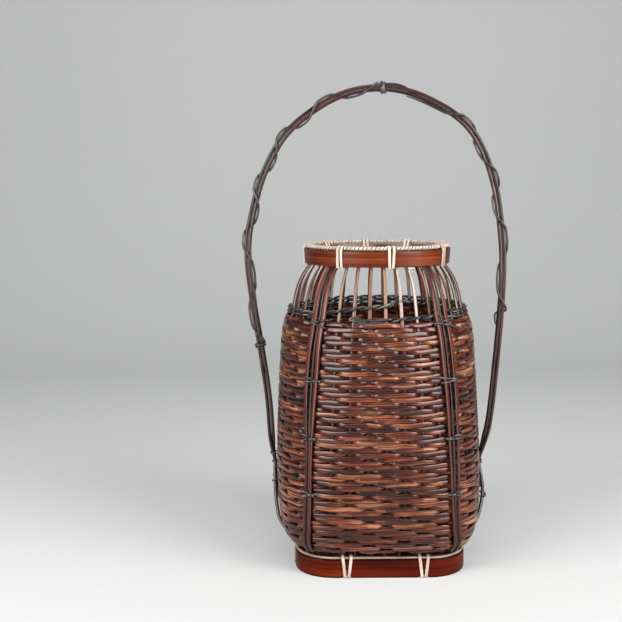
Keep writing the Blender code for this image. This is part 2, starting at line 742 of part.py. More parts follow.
def smooth_line(points, steps):
    """Points of a smooth curve through the given ones."""
    line = []
    padded = [points[0] * 2 - points[1], *points, points[-1] * 2 - points[-2]]
    for before, start, end, after in zip(padded, padded[1:], padded[2:], padded[3:]):
        for step in range(steps):
            t = step / steps
            line.append(start + (end - before) * (t / 2) + (before * 2 - start * 5 + end * 4 - after) * (t * t / 2)
                        + (start * 3 - before - end * 3 + after) * (t ** 3 / 2))
    line.append(points[-1])
    return line


def handle_centre_points():
    """The handle's centre line from the left seat over the top to the right seat."""
    seat = abs(body_point(90, HANDLE_SEAT, LEG_OFFSET).x)
    left = [Vector((-mix(seat, HANDLE_REACH, reach), 0, mix(HANDLE_SEAT, HANDLE_LINE_TOP, height)))
            for reach, height in HANDLE_LEFT_SHARES]
    arch = [Vector((HANDLE_REACH * reach, 0, mix(HANDLE_SEAT, HANDLE_LINE_TOP, height)))
            for reach, height in HANDLE_ARCH_SHARES]
    right = [Vector((mix(seat, HANDLE_REACH, reach), 0, mix(HANDLE_SEAT, HANDLE_LINE_TOP, height)))
             for reach, height in HANDLE_RIGHT_SHARES]
    ends = [Vector((hand * seat, 0, HANDLE_SEAT)) for hand in (-1, 1)]
    return [ends[0], *left, *arch, *right, ends[1]]


def handle_frames():
    """Points of the centre line, each with the way from the inner cane to the outer one."""
    line = smooth_line(handle_centre_points(), HANDLE_SPAN_STEPS)
    frames = []
    for index, point in enumerate(line):
        before = line[max(index - 1, 0)]
        after = line[min(index + 1, len(line) - 1)]
        forward = (after - before).normalized()
        normal = Vector((-forward.z, 0, forward.x))
        turn = math.radians(90) * ease((HANDLE_TWIST_TOP - point.z) / (HANDLE_TWIST_TOP - HANDLE_SEAT))
        stack = normal * math.cos(turn) + Vector((0, -1, 0)) * math.sin(turn)
        frames.append((point, forward, stack))
    return frames


def leg_half_spread(height):
    share = (HANDLE_SEAT - height) / (HANDLE_SEAT - HANDLE_LEG_BOTTOM)
    return mix(HANDLE_PAIR_OFFSET, HANDLE_LEG_SPREAD, share * mix(1, share, LEG_BEND_SHARE))


def leg_points(side, toward):
    """One leg of one cane on the side of the body, from just under the seat to its end."""
    line = []
    heights = [height for height in reversed(wall_heights()) if HANDLE_LEG_BOTTOM < height < HANDLE_SEAT]
    for height in [*heights, HANDLE_LEG_BOTTOM]:
        spread = arc_angle(leg_half_spread(height), 90, height)
        line.append(body_point(side * (90 + toward * spread), height, LEG_OFFSET))
    return line


def make_handle_canes(material):
    """Two canes, one over the other along the arch, which turn side by side at the seat."""
    frames = handle_frames()
    for name, hand in (("handle_outer_cane", 1), ("handle_inner_cane", -1)):
        arch = [point + stack * (hand * HANDLE_PAIR_OFFSET) for point, forward, stack in frames]
        left = leg_points(-1, -hand)
        right = leg_points(1, -hand)
        add_tube(name, [*reversed(left), *arch, *right], HANDLE_CANE_RADIUS, material)


def path_lengths(line):
    lengths = [0.0]
    for first, second in zip(line, line[1:]):
        lengths.append(lengths[-1] + (second - first).length)
    return lengths


def frame_at(frames, lengths, length):
    """The centre line's point and directions at a length along it."""
    index = 0
    while index < len(lengths) - 2 and lengths[index + 1] < length:
        index += 1
    share = (length - lengths[index]) / (lengths[index + 1] - lengths[index])
    point, forward, stack = (first.lerp(second, share) for first, second in zip(frames[index], frames[index + 1]))
    forward.normalize()
    stack.normalize()
    return point, forward, stack


def wound_line(frames, lengths, start, end, turns):
    """A strand wound round both canes between two lengths along the centre line."""
    long_half = curl_radius(HANDLE_PAIR_OFFSET + HANDLE_CANE_RADIUS, HANDLE_VINE_RADIUS)
    short_half = curl_radius(HANDLE_CANE_RADIUS + CLEARANCE, HANDLE_VINE_RADIUS)
    count = turns * CURL_POINTS
    line = []
    for index in range(count + 1):
        point, forward, stack = frame_at(frames, lengths, mix(start, end, index / count))
        angle = 2 * math.pi * index / CURL_POINTS
        across = stack.cross(forward)
        line.append(point + stack * (long_half * math.cos(angle)) + across * (short_half * math.sin(angle)))
    return line


def make_handle_vines(material):
    """A vine up each side of the handle. The left one ends in close turns at the top, the knot."""
    frames = handle_frames()
    lengths = path_lengths([frame[0] for frame in frames])
    total = lengths[-1]
    lowest = [length for frame, length in zip(frames, lengths) if frame[0].z > HANDLE_VINE_END]
    knot = total * KNOT_PLACE_SHARE
    half_knot = HANDLE_KNOT_TURNS * HANDLE_KNOT_PITCH / 2
    left = wound_line(frames, lengths, lowest[0], knot - half_knot - HANDLE_KNOT_GAP, HANDLE_LEFT_VINE_TURNS)
    left += wound_line(frames, lengths, knot - half_knot, knot + half_knot, HANDLE_KNOT_TURNS)
    right = wound_line(frames, lengths, knot + half_knot + HANDLE_KNOT_GAP, lowest[-1], HANDLE_RIGHT_VINE_TURNS)
    for name, line in (("handle_left_vine", left), ("handle_right_vine", right)):
        gap = least_gap(line, HANDLE_VINE_RADIUS, CURL_POINTS)
        print(f"{name}: least gap to itself {gap * 1000:.2f} mm")
        add_tube(name, line, HANDLE_VINE_RADIUS, material)


def make_handle_ties(material):
    """On each side one tie over both canes, where they come down on the body."""
    side = HANDLE_PAIR_OFFSET + HANDLE_CANE_RADIUS + CLEARANCE + HANDLE_TIE_RADIUS
    over = LEG_OFFSET + HANDLE_CANE_RADIUS + CLEARANCE + HANDLE_TIE_RADIUS
    foot = WEAVE_OUTSIDE + CLEARANCE
    places = mirrored_places(((0, over), (side, over), (side, foot)))
    for name, azimuth in (("left_handle_tie", -90), ("right_handle_tie", 90)):
        add_tube(name, strap_over(azimuth, HANDLE_TIE_HEIGHT, places, 0.0), HANDLE_TIE_RADIUS, material)


# Water tube


def make_water_tube(material):
    """Turned profile of a bamboo length cut just below a node, which is its floor."""
    inner = TUBE_RADIUS - TUBE_WALL
    profile = [(0, 0), (0, TUBE_FLOOR), (inner - TUBE_WALL, TUBE_FLOOR), (inner, TUBE_FLOOR + TUBE_WALL),
               (inner, TUBE_HEIGHT - TUBE_RIM_ROUND), (inner + TUBE_RIM_ROUND, TUBE_HEIGHT),
               (TUBE_RADIUS - TUBE_RIM_ROUND, TUBE_HEIGHT), (TUBE_RADIUS, TUBE_HEIGHT - TUBE_RIM_ROUND),
               (TUBE_RADIUS, TUBE_RIM_ROUND), (TUBE_RADIUS - TUBE_RIM_ROUND, 0)]
    mesh = bpy.data.meshes.new("water_tube")
    edges = [(index, (index + 1) % len(profile)) for index in range(1, len(profile))]
    mesh.from_pydata([(x, 0, z) for x, z in profile], edges, [])
    tube = add_object("water_tube", mesh, material)
    tube.location.z = FLOOR_TOP + CLEARANCE
    turn = tube.modifiers.new("turn", "SCREW")
    turn.steps = TUBE_STEPS
    turn.render_steps = TUBE_STEPS
    turn.use_merge_vertices = True
    turn.merge_threshold = WELD_DISTANCE
    return tube


clear_scene()
PARTS = new_collection("ikebana_basket")
CUTTERS = new_collection("cutters")

band_red = new_material("lacquered_band", (0.42, 0.10, 0.035), 0.28)
cane_light = new_material("light_cane", (0.62, 0.48, 0.33), 0.45)
weave_red = new_material("split_rattan", (0.26, 0.075, 0.035), 0.35)
stake_tan = new_material("stake_rattan", (0.38, 0.24, 0.17), 0.45)
lath_brown = new_material("lath_rattan", (0.20, 0.055, 0.03), 0.38)
vine_dark = new_material("dark_vine", (0.035, 0.025, 0.02), 0.5)
cane_dark = new_material("handle_cane", (0.12, 0.035, 0.022), 0.35)
band_inner = new_material("inner_band", (0.20, 0.12, 0.07), 0.4)
bamboo_black = new_material("smoked_bamboo", (0.02, 0.02, 0.02), 0.7)

make_foot_band(band_red)
make_foot_edge_cane(cane_light)
make_floor(weave_red)
make_woven_wall(weave_red)
make_stakes(stake_tan)
make_corner_struts(lath_brown)
make_twine("lower", LOWER_TWINE_HEIGHT, vine_dark)
make_twine("upper", UPPER_TWINE_HEIGHT, vine_dark)
make_rim_bands(band_red, band_inner)
make_rim_core(cane_light)
make_rim_binding(cane_light)
make_handle_canes(cane_dark)
make_handle_vines(vine_dark)
make_handle_ties(vine_dark)
make_water_tube(bamboo_black)
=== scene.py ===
import math

import bpy
import numpy as np
from mathutils import Matrix, Vector


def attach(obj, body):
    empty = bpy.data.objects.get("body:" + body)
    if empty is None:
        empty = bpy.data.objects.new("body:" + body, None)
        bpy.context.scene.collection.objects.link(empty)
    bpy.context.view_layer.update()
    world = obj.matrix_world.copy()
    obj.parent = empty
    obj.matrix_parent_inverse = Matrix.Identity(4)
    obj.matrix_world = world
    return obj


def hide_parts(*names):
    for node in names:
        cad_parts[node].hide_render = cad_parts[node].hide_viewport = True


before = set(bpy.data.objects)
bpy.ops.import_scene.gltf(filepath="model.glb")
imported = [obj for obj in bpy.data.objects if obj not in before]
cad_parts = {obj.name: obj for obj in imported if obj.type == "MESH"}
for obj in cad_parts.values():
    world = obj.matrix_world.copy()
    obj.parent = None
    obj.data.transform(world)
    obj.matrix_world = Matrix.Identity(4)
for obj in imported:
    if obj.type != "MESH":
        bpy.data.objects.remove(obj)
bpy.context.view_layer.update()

# Foot band. One strip of bamboo, bent round four corners and lacquered orange-red. It stands
# on its lower edge, which is notched where the cane ties pass under it.
FOOT_WIDTH = 0.139
FOOT_CORNER_RADIUS = 0.032
FOOT_HEIGHT = 0.0152
FOOT_THICKNESS = 0.003
FOOT_CORNER_STEPS = 14
FOOT_SIDE_STEPS = 40
FOOT_NOTCH_HEIGHT = 0.0018
FOOT_NOTCH_WIDTH = 0.0080
FOOT_NOTCH_STEEPNESS = 4
FOOT_TIE_PLACES = (-0.0280, 0.0336)
FOOT_SHADES = ((0.0, 0.012, 0.001, 0.0005), (0.35, 0.042, 0.0035, 0.001), (0.62, 0.105, 0.010, 0.0015),
               (1.0, 0.25, 0.040, 0.006))
CLEARANCE = 0.0003


def set_inputs(tree, node, inputs):
    """Sets a node's inputs, given as values or as other nodes' outputs."""
    for key, value in inputs.items():
        if isinstance(value, bpy.types.NodeSocket):
            tree.links.new(value, node.inputs[key])
        else:
            node.inputs[key].default_value = value


def add_node(tree, kind, inputs=None, **settings):
    node = tree.nodes.new(kind)
    for key, value in settings.items():
        setattr(node, key, value)
    set_inputs(tree, node, inputs or {})
    return node


def calc(tree, operation, first, second=0.0):
    return add_node(tree, "ShaderNodeMath", {0: first, 1: second}, operation=operation).outputs[0]


def swing(tree, value, size):
    """A value between 0 and 1 as a swing to both sides of zero."""
    return calc(tree, "MULTIPLY", calc(tree, "SUBTRACT", value, 0.5), size)


def remap(tree, value, limits, targets=(0.0, 1.0), **settings):
    inputs = {"Value": value, "From Min": limits[0], "From Max": limits[1],
              "To Min": targets[0], "To Max": targets[1]}
    return add_node(tree, "ShaderNodeMapRange", inputs, **settings).outputs[0]


def stretch(tree, vector, scale):
    return add_node(tree, "ShaderNodeVectorMath", {0: vector, 1: scale}, operation="MULTIPLY").outputs[0]


def axes(tree, vector):
    return add_node(tree, "ShaderNodeSeparateXYZ", {0: vector}).outputs


def vector_of(tree, x, y, z):
    return add_node(tree, "ShaderNodeCombineXYZ", {0: x, 1: y, 2: z}).outputs[0]


def noise(tree, inputs, **settings):
    return add_node(tree, "ShaderNodeTexNoise", inputs, **settings).outputs["Fac"]


def blend(tree, share, first, second, **settings):
    inputs = {0: share, 6: first, 7: second}
    return add_node(tree, "ShaderNodeMix", inputs, data_type="RGBA", **settings).outputs[2]


def colour_ramp(tree, level, shades):
    """A ramp whose shades are a place and a colour each."""
    ramp = add_node(tree, "ShaderNodeValToRGB", {"Fac": level})
    while len(ramp.color_ramp.elements) < len(shades):
        ramp.color_ramp.elements.new(0.5)
    for element, (place, *shade) in zip(ramp.color_ramp.elements, shades):
        element.position = place
        element.color = (*shade, 1.0)
    return ramp.outputs["Color"]


def new_material(name):
    material = bpy.data.materials.new(name)
    material.use_nodes = True
    return material, material.node_tree, material.node_tree.nodes["Principled BSDF"]


def show(name, data):
    item = bpy.data.objects.new(name, data)
    bpy.context.collection.objects.link(item)
    return item


def new_tree(name, numbers, **others):
    """A geometry tree that takes paths, named numbers and other named inputs, and gives a piece."""
    tree = bpy.data.node_groups.new(name, "GeometryNodeTree")
    tree.interface.new_socket("Paths", in_out="INPUT", socket_type="NodeSocketGeometry")
    tree.interface.new_socket("Piece", in_out="OUTPUT", socket_type="NodeSocketGeometry")
    for label, kind in {**dict.fromkeys(numbers, "NodeSocketFloat"), **others}.items():
        tree.interface.new_socket(label, in_out="INPUT", socket_type=kind)
    return tree, add_node(tree, "NodeGroupInput").outputs


def attribute(tree, name, kind="FLOAT"):
    return add_node(tree, "GeometryNodeInputNamedAttribute", {"Name": name}, data_type=kind).outputs[0]


def store(tree, geometry, name, value, kind="FLOAT"):
    inputs = {"Geometry": geometry, "Name": name, "Value": value}
    node = add_node(tree, "GeometryNodeStoreNamedAttribute", inputs, data_type=kind, domain="POINT")
    return node.outputs[0]


def make_strand_tree():
    """Sweeps a split or round strand along each path. A path's points say which way the strand's
    outer face looks and how stout it is there."""
    tree, start = new_tree("strand", ("Width", "Thickness", "Squareness", "Back"),
                           Sides="NodeSocketInt", Finish="NodeSocketMaterial")
    curve = add_node(tree, "GeometryNodeMeshToCurve", {"Mesh": start["Paths"]}).outputs[0]
    facing = attribute(tree, "facing", "FLOAT_VECTOR")
    turned = add_node(tree, "GeometryNodeSetCurveNormal", {"Curve": curve, "Normal": facing}, mode="FREE")
    length = add_node(tree, "GeometryNodeSplineParameter").outputs["Length"]
    curve = store(tree, turned.outputs[0], "along", length)
    ring = add_node(tree, "GeometryNodeCurvePrimitiveCircle", {"Resolution": start["Sides"], "Radius": 1.0})
    half_step = vector_of(tree, 0.0, 0.0, calc(tree, "DIVIDE", math.pi, start["Sides"]))
    ring = add_node(tree, "GeometryNodeTransform", {"Geometry": ring.outputs[0], "Rotation": half_step})
    place = axes(tree, add_node(tree, "GeometryNodeInputPosition").outputs[0])
    spread = []
    for axis, size in ((0, "Thickness"), (1, "Width")):
        power = calc(tree, "POWER", calc(tree, "ABSOLUTE", place[axis]), start["Squareness"])
        signed = calc(tree, "MULTIPLY", power, calc(tree, "SIGN", place[axis]))
        spread.append(calc(tree, "MULTIPLY", signed, calc(tree, "MULTIPLY", start[size], 0.5)))
    behind = calc(tree, "MULTIPLY", calc(tree, "MINIMUM", spread[0], 0.0), start["Back"])
    depth = calc(tree, "ADD", calc(tree, "MAXIMUM", spread[0], 0.0), behind)
    profile = store(tree, ring.outputs[0], "section", vector_of(tree, depth, spread[1], 0.0), "FLOAT_VECTOR")
    section = attribute(tree, "section", "FLOAT_VECTOR")
    profile = add_node(tree, "GeometryNodeSetPosition", {"Geometry": profile, "Position": section}).outputs[0]
    sweep = {"Curve": curve, "Profile Curve": profile, "Scale": attribute(tree, "girth"), "Fill Caps": True}
    swept = add_node(tree, "GeometryNodeCurveToMesh", sweep).outputs[0]
    across = axes(tree, attribute(tree, "section", "FLOAT_VECTOR"))
    grain = vector_of(tree, attribute(tree, "along"), across[0], across[1])
    swept = store(tree, swept, "grain", grain, "FLOAT_VECTOR")
    swept = add_node(tree, "GeometryNodeSetShadeSmooth", {"Geometry": swept}).outputs[0]
    whole = add_node(tree, "GeometryNodeRealizeInstances", {0: swept}).outputs[0]
    dressed = add_node(tree, "GeometryNodeSetMaterial", {"Geometry": whole, "Material": start["Finish"]})
    add_node(tree, "NodeGroupOutput", {0: dressed.outputs[0]})
    return tree


STRAND_TREE = make_strand_tree()


def unit(vectors):
    vectors = np.asarray(vectors, float)
    return vectors / np.maximum(np.linalg.norm(vectors, axis=-1, keepdims=True), 1e-12)


def ring_ways(points):
    """The way forward at each point of a closed line."""
    return unit(np.roll(points, -1, 0) - np.roll(points, 1, 0))


def path(points, facing, girth=1.0, tone=0.5, seed=0.0, closed=False):
    """One strand's middle line, with the way its face looks set square to the line."""
    points = np.asarray(points, float)
    forward = ring_ways(points) if closed else unit(np.gradient(points, axis=0))
    facing = np.broadcast_to(np.asarray(facing, float), points.shape)
    facing = unit(facing - forward * np.sum(facing * forward, axis=1, keepdims=True))
    values = {"girth": girth, "tone": tone, "seed": seed}
    spread = {key: np.broadcast_to(value, len(points)) for key, value in values.items()}
    return {"points": points, "facing": facing, "closed": closed, **spread}


def put_values(mesh, name, kind, field, values):
    """Stores a value for each point of a mesh, joined from all its paths."""
    data = mesh.attributes.new(name, kind, "POINT").data
    data.foreach_set(field, np.concatenate(values).astype(np.float32).ravel())


def guide_object(name, paths):
    """The paths as loose edges that carry their values."""
    points = np.concatenate([item["points"] for item in paths])
    edges = []
    start = 0
    for item in paths:
        count = len(item["points"])
        index = np.arange(start, start + count)
        pairs = np.stack([index, np.roll(index, -1)], 1)
        edges.append(pairs if item["closed"] else pairs[:-1])
        start += count
    edges = np.concatenate(edges)
    mesh = bpy.data.meshes.new(name)
    mesh.vertices.add(len(points))
    mesh.vertices.foreach_set("co", points.astype(np.float32).ravel())
    mesh.edges.add(len(edges))
    mesh.edges.foreach_set("vertices", edges.astype(np.int32).ravel())
    put_values(mesh, "facing", "FLOAT_VECTOR", "vector", [item["facing"] for item in paths])
    for key in sorted(set(paths[0]) - {"points", "facing", "closed"}):
        put_values(mesh, key, "FLOAT", "value", [item[key] for item in paths])
    return show(name, mesh)


def add_modifier(guide, tree, values):
    """A tree on an object, its inputs found by their labels and set by their identifiers."""
    modifier = guide.modifiers.new(tree.name, "NODES")
    modifier.node_group = tree
    names = {item.name: item.identifier for item in tree.interface.items_tree
             if item.item_type == "SOCKET" and item.in_out == "INPUT"}
    for label, value in values.items():
        modifier[names[label]] = value


def settle(guide, name):
    """The guide's modifiers made into one plain mesh with its faces outwards."""
    bpy.context.view_layer.update()
    evaluated = guide.evaluated_get(bpy.context.evaluated_depsgraph_get())
    mesh = bpy.data.meshes.new_from_object(evaluated)
    bpy.data.objects.remove(guide, do_unlink=True)
    mesh.name = name
    for spare in ("facing", "along", "section", "girth", "outward", "phase", "row"):
        if spare in mesh.attributes:
            mesh.attributes.remove(mesh.attributes[spare])
    mesh.calc_loop_triangles()
    corners = np.empty(len(mesh.loop_triangles) * 3, np.int32)
    mesh.loop_triangles.foreach_get("vertices", corners)
    places = np.empty(len(mesh.vertices) * 3, np.float32)
    mesh.vertices.foreach_get("co", places)
    a, b, c = places.reshape(-1, 3).astype(float)[corners.reshape(-1, 3)].transpose(1, 0, 2)
    if np.sum(a * np.cross(b, c)) < 0:
        mesh.flip_normals()
    return show(name, mesh)


def strands(name, paths, width, thickness, finish, sides=8, squareness=1.0):
    """A piece of one or more strands of one section."""
    guide = guide_object(name, paths)
    add_modifier(guide, STRAND_TREE, {"Width": width, "Thickness": thickness, "Squareness": squareness,
                                      "Back": 1.0, "Sides": sides, "Finish": finish})
    return settle(guide, name)


def give(piece, body, slot, *nodes):
    """Puts the piece on the body that carries it and hides the CAD nodes it stands for. The slot
    is not used.
    """
    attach(piece, body)
    if nodes:
        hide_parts(*nodes)


def cane_finish(name, shades, fibre=(40, 1500), patch=22, spread=(0.55, 0.5, 0.35), roughness=(0.3, 0.55),
                coat=0.25, coat_roughness=0.2, relief=0.00012, edge=None, edge_painted_shade=(0.02, 0.006, 0.004),
                stain=None, shine=0.35):
    """Cane, vine or bamboo: long fine fibres, patches of tone along the strand, a tone for each
    strand, edges painted darker as shade in the gaps where asked, and a second hue that comes and goes."""
    material, tree, shader = new_material(name)
    grain, tone, seed = [add_node(tree, "ShaderNodeAttribute", attribute_name=key).outputs[output]
                         for key, output in (("grain", "Vector"), ("tone", "Fac"), ("seed", "Fac"))]

    def cloud(scale, detail, shift=0.0):
        inputs = {"Vector": stretch(tree, grain, scale), "Scale": 1.0, "Detail": detail}
        inputs["W"] = calc(tree, "ADD", seed, shift) if shift else seed
        return noise(tree, inputs, noise_dimensions="4D")

    fibres = cloud((fibre[0], fibre[1], fibre[1]), 3.0)
    patches = cloud((patch, patch * 2, patch * 2), 2.0)
    level = swing(tree, tone, spread[0])
    level = calc(tree, "ADD", level, swing(tree, fibres, spread[1] * 2))
    level = calc(tree, "ADD", level, swing(tree, patches, spread[2] * 2))
    colour = colour_ramp(tree, calc(tree, "ADD", level, 0.5), shades)
    if stain:
        share = remap(tree, cloud((patch * 0.8, patch, patch), 1.0, 7.3), (0.48, 0.68), (0.0, 0.75))
        tinted = blend(tree, 1.0, colour, (*stain, 1.0), blend_type="MULTIPLY")
        colour = blend(tree, share, colour, tinted)
    # Painted shade: near each edge the colour turns to the dark edge colour, for the shade in the gaps
    # between strands and parts.
    if edge:
        half, soft = edge
        side = calc(tree, "ABSOLUTE", axes(tree, grain)[2])
        rough_edge = calc(tree, "ADD", side, swing(tree, patches, soft))
        share = remap(tree, rough_edge, (half - soft, half), interpolation_type="SMOOTHSTEP")
        colour = blend(tree, share, colour, (*edge_painted_shade, 1.0))
    bump = add_node(tree, "ShaderNodeBump", {"Height": fibres, "Distance": relief, "Strength": 1.0})
    set_inputs(tree, shader, {"Base Color": colour, "Roughness": remap(tree, fibres, (0.3, 0.7), roughness),
                              "Normal": bump.outputs[0], "Specular IOR Level": shine, "Coat Weight": coat,
                              "Coat Roughness": coat_roughness})
    return material


def foot_line(height, **values):
    """A line at a height round the middle of the foot band, its sides cut into steps too."""
    radius = FOOT_CORNER_RADIUS - FOOT_THICKNESS / 2
    half = (FOOT_WIDTH - FOOT_THICKNESS) / 2 - radius
    points = []
    for quarter in range(4):
        middle = math.radians(90 * quarter + 45)
        centre = np.array([math.copysign(half, math.cos(middle)), math.copysign(half, math.sin(middle))])
        for step in range(FOOT_CORNER_STEPS + 1):
            angle = math.radians(90 * quarter + 90 * step / FOOT_CORNER_STEPS)
            points.append(centre + radius * np.array([math.cos(angle), math.sin(angle)]))
        angle = math.radians(90 * quarter + 90)
        along = np.array([-math.sin(angle), math.cos(angle)])
        for step in range(1, FOOT_SIDE_STEPS):
            points.append(points[-1] + along * 2 * half / FOOT_SIDE_STEPS)
    forward = ring_ways(np.array(points))
    line = np.column_stack([points, np.full(len(points), height)])
    facing = np.column_stack([forward[:, 1], -forward[:, 0], np.zeros(len(points))])
    return path(line, facing, closed=True, **values)


foot_lacquer = cane_finish("foot_lacquer", FOOT_SHADES, fibre=(7, 420), patch=16, spread=(0.3, 0.38, 0.65),
                           roughness=(0.26, 0.42), coat=0.06, coat_roughness=0.12, relief=0.00008,
                           edge=(FOOT_HEIGHT / 2, 0.0020), edge_painted_shade=(0.014, 0.002, 0.002), shine=0.05)
foot_band = strands("foot_band_strip", [foot_line(FOOT_HEIGHT / 2, seed=3.0)], FOOT_HEIGHT, FOOT_THICKNESS,
                    foot_lacquer, sides=20, squareness=0.28)
notched_height = FOOT_HEIGHT / 3
for vertex in foot_band.data.vertices:
    x, y, z = vertex.co
    along = x * -math.copysign(1, y) if abs(y) > abs(x) else y * math.copysign(1, x)
    for place in FOOT_TIE_PLACES:
        nearness = abs(along - place) / (FOOT_NOTCH_WIDTH / 2)
        if nearness < 1 and z < notched_height:
            raised = FOOT_NOTCH_HEIGHT * min(1.0, (1 - nearness) * FOOT_NOTCH_STEEPNESS)
            vertex.co.z += raised * (1 - z / notched_height)
give(foot_band, "basket", "lacquered_band", "foot_band")

# Edging cane and foot ties. A split light cane lies along the top of the foot band, and pairs
# of flat cane ties hold it down, spread apart at the top.
EDGE_CANE_RADIUS = 0.0009
EDGE_CANE_HEIGHT = FOOT_HEIGHT + CLEARANCE + EDGE_CANE_RADIUS
EDGE_CANE_TOP = EDGE_CANE_HEIGHT + EDGE_CANE_RADIUS
FOOT_TIE_WIDTH = 0.0024
FOOT_TIE_THICKNESS = 0.0008
FOOT_TIE_SPACING = 0.0046
FOOT_TIE_LEAN = 6.5
FOOT_TIE_STEP = 0.0012
TIE_BEND_INSET = 0.0007
TIE_SLACK = 0.0002
CREAM_SHADES = ((0.0, 0.16, 0.095, 0.055), (0.35, 0.38, 0.28, 0.20), (0.65, 0.60, 0.48, 0.39),
                (1.0, 0.80, 0.70, 0.62))

cream_cane = cane_finish("cream_cane", CREAM_SHADES, fibre=(60, 2200), patch=60, spread=(0.4, 0.5, 0.5),
                         roughness=(0.3, 0.5), coat=0.2)


def outward(azimuth):
    """The level way out of the basket at an angle from the front, rightwards."""
    angle = math.radians(azimuth)
    return np.array([math.sin(angle), -math.cos(angle), 0.0])


def smooth_line(points, steps, closed=False):
    """Points of a smooth curve through the given ones."""
    points = np.asarray(points, float)
    if closed:
        padded = np.concatenate([points[-1:], points, points[:2]])
    else:
        padded = np.concatenate([[points[0] * 2 - points[1]], points, [points[-1] * 2 - points[-2]]])
    line = []
    for before, start, end, after in zip(padded, padded[1:], padded[2:], padded[3:]):
        for step in range(steps):
            t = step / steps
            line.append(start + (end - before) * (t / 2)
                        + (before * 2 - start * 5 + end * 4 - after) * (t * t / 2)
                        + (start * 3 - before - end * 3 + after) * (t ** 3 / 2))
    if not closed:
        line.append(points[-1])
    return np.array(line)


def strap_path(outline, azimuth, along, lean, pivot_height, steps=3, **values):
    """A closed flat tie in an upright plane that holds the basket's axis."""
    way = outward(azimuth)
    side = outward(azimuth + 90)
    lean = math.radians(lean)
    up = np.array([0, 0, 1.0]) * math.cos(lean) + side * math.sin(lean)
    outline = smooth_line(outline, steps, closed=True)
    points = np.array([way * reach + up * (height - pivot_height) for reach, height in outline])
    points += side * along + np.array([0, 0, pivot_height])
    facing = np.cross(ring_ways(points), np.cross(way, up))
    facing *= np.sign(np.sum(facing * (points - points.mean(0)), axis=1, keepdims=True) + 1e-9)
    return path(points, facing, closed=True, **values)


def round_corners(outline):
    """Each corner of a loop cut off at a small distance, so that the tie bends round it."""
    outline = np.asarray(outline, float)
    points = []
    for before, corner, after in zip(np.roll(outline, 1, 0), outline, np.roll(outline, -1, 0)):
        for other in (before, after):
            length = np.linalg.norm(other - corner)
            points.append(corner + (other - corner) * min(TIE_BEND_INSET / length, 0.35))
    return points


foot_edge = strands("foot_edging", [foot_line(EDGE_CANE_HEIGHT, seed=9.0, tone=0.05)], 2 * EDGE_CANE_RADIUS,
                    2 * EDGE_CANE_RADIUS + 0.0002, cream_cane, sides=10, squareness=0.8)
give(foot_edge, "basket", "light_cane", "foot_edge_cane")

half = FOOT_TIE_THICKNESS / 2
tie_inside = FOOT_WIDTH / 2 - FOOT_THICKNESS - CLEARANCE - half
tie_outside = FOOT_WIDTH / 2 + CLEARANCE + half
tie_low = FOOT_NOTCH_HEIGHT - half - TIE_SLACK
tie_high = EDGE_CANE_TOP + half + TIE_SLACK
foot_loop = round_corners([(tie_inside, tie_low), (tie_outside, tie_low),
                           (tie_outside, EDGE_CANE_TOP - EDGE_CANE_RADIUS),
                           (tie_outside - FOOT_TIE_STEP, tie_high),
                           (tie_inside, tie_high)])
luck = np.random.default_rng(11)
foot_tie_paths = []
for side in range(4):
    for place in FOOT_TIE_PLACES:
        for hand in (-1, 1):
            foot_tie_paths.append(strap_path(foot_loop, 90 * side, place + hand * FOOT_TIE_SPACING / 2,
                                             hand * FOOT_TIE_LEAN, FOOT_HEIGHT / 2,
                                             tone=luck.uniform(0.55, 0.95), seed=luck.uniform(0, 50)))
foot_ties = strands("foot_ties", foot_tie_paths, FOOT_TIE_WIDTH, FOOT_TIE_THICKNESS, cream_cane,
                    sides=10, squareness=0.6)
give(foot_ties, "basket", "light_cane", "foot_edge_cane")

# Floor. A mat of broad split-bamboo strips plaited one over one, cut to the rounded square of
# the foot, which the stakes' lower ends hold.
FLOOR_BOTTOM = 0.010
FLOOR_THICKNESS = 0.003
FLOOR_STRIP_WIDTH = 0.0058
FLOOR_STRIP_PITCH = 0.0062
FLOOR_STRIP_THICKNESS = 0.0009
FLOOR_STEP = 0.0011
FLOOR_CROSSING_GAP = 0.0004
FOOT_SQUARENESS = 4.1
STAKE_THICKNESS = 0.0016
STAKE_FACE = STAKE_THICKNESS / 2
FOOT_LINE_REACH = FOOT_WIDTH / 2 - FOOT_THICKNESS - CLEARANCE - STAKE_FACE
FLOOR_SHADES = ((0.0, 0.06, 0.015, 0.008), (0.4, 0.16, 0.045, 0.02), (0.7, 0.26, 0.09, 0.04),
                (1.0, 0.38, 0.17, 0.09))

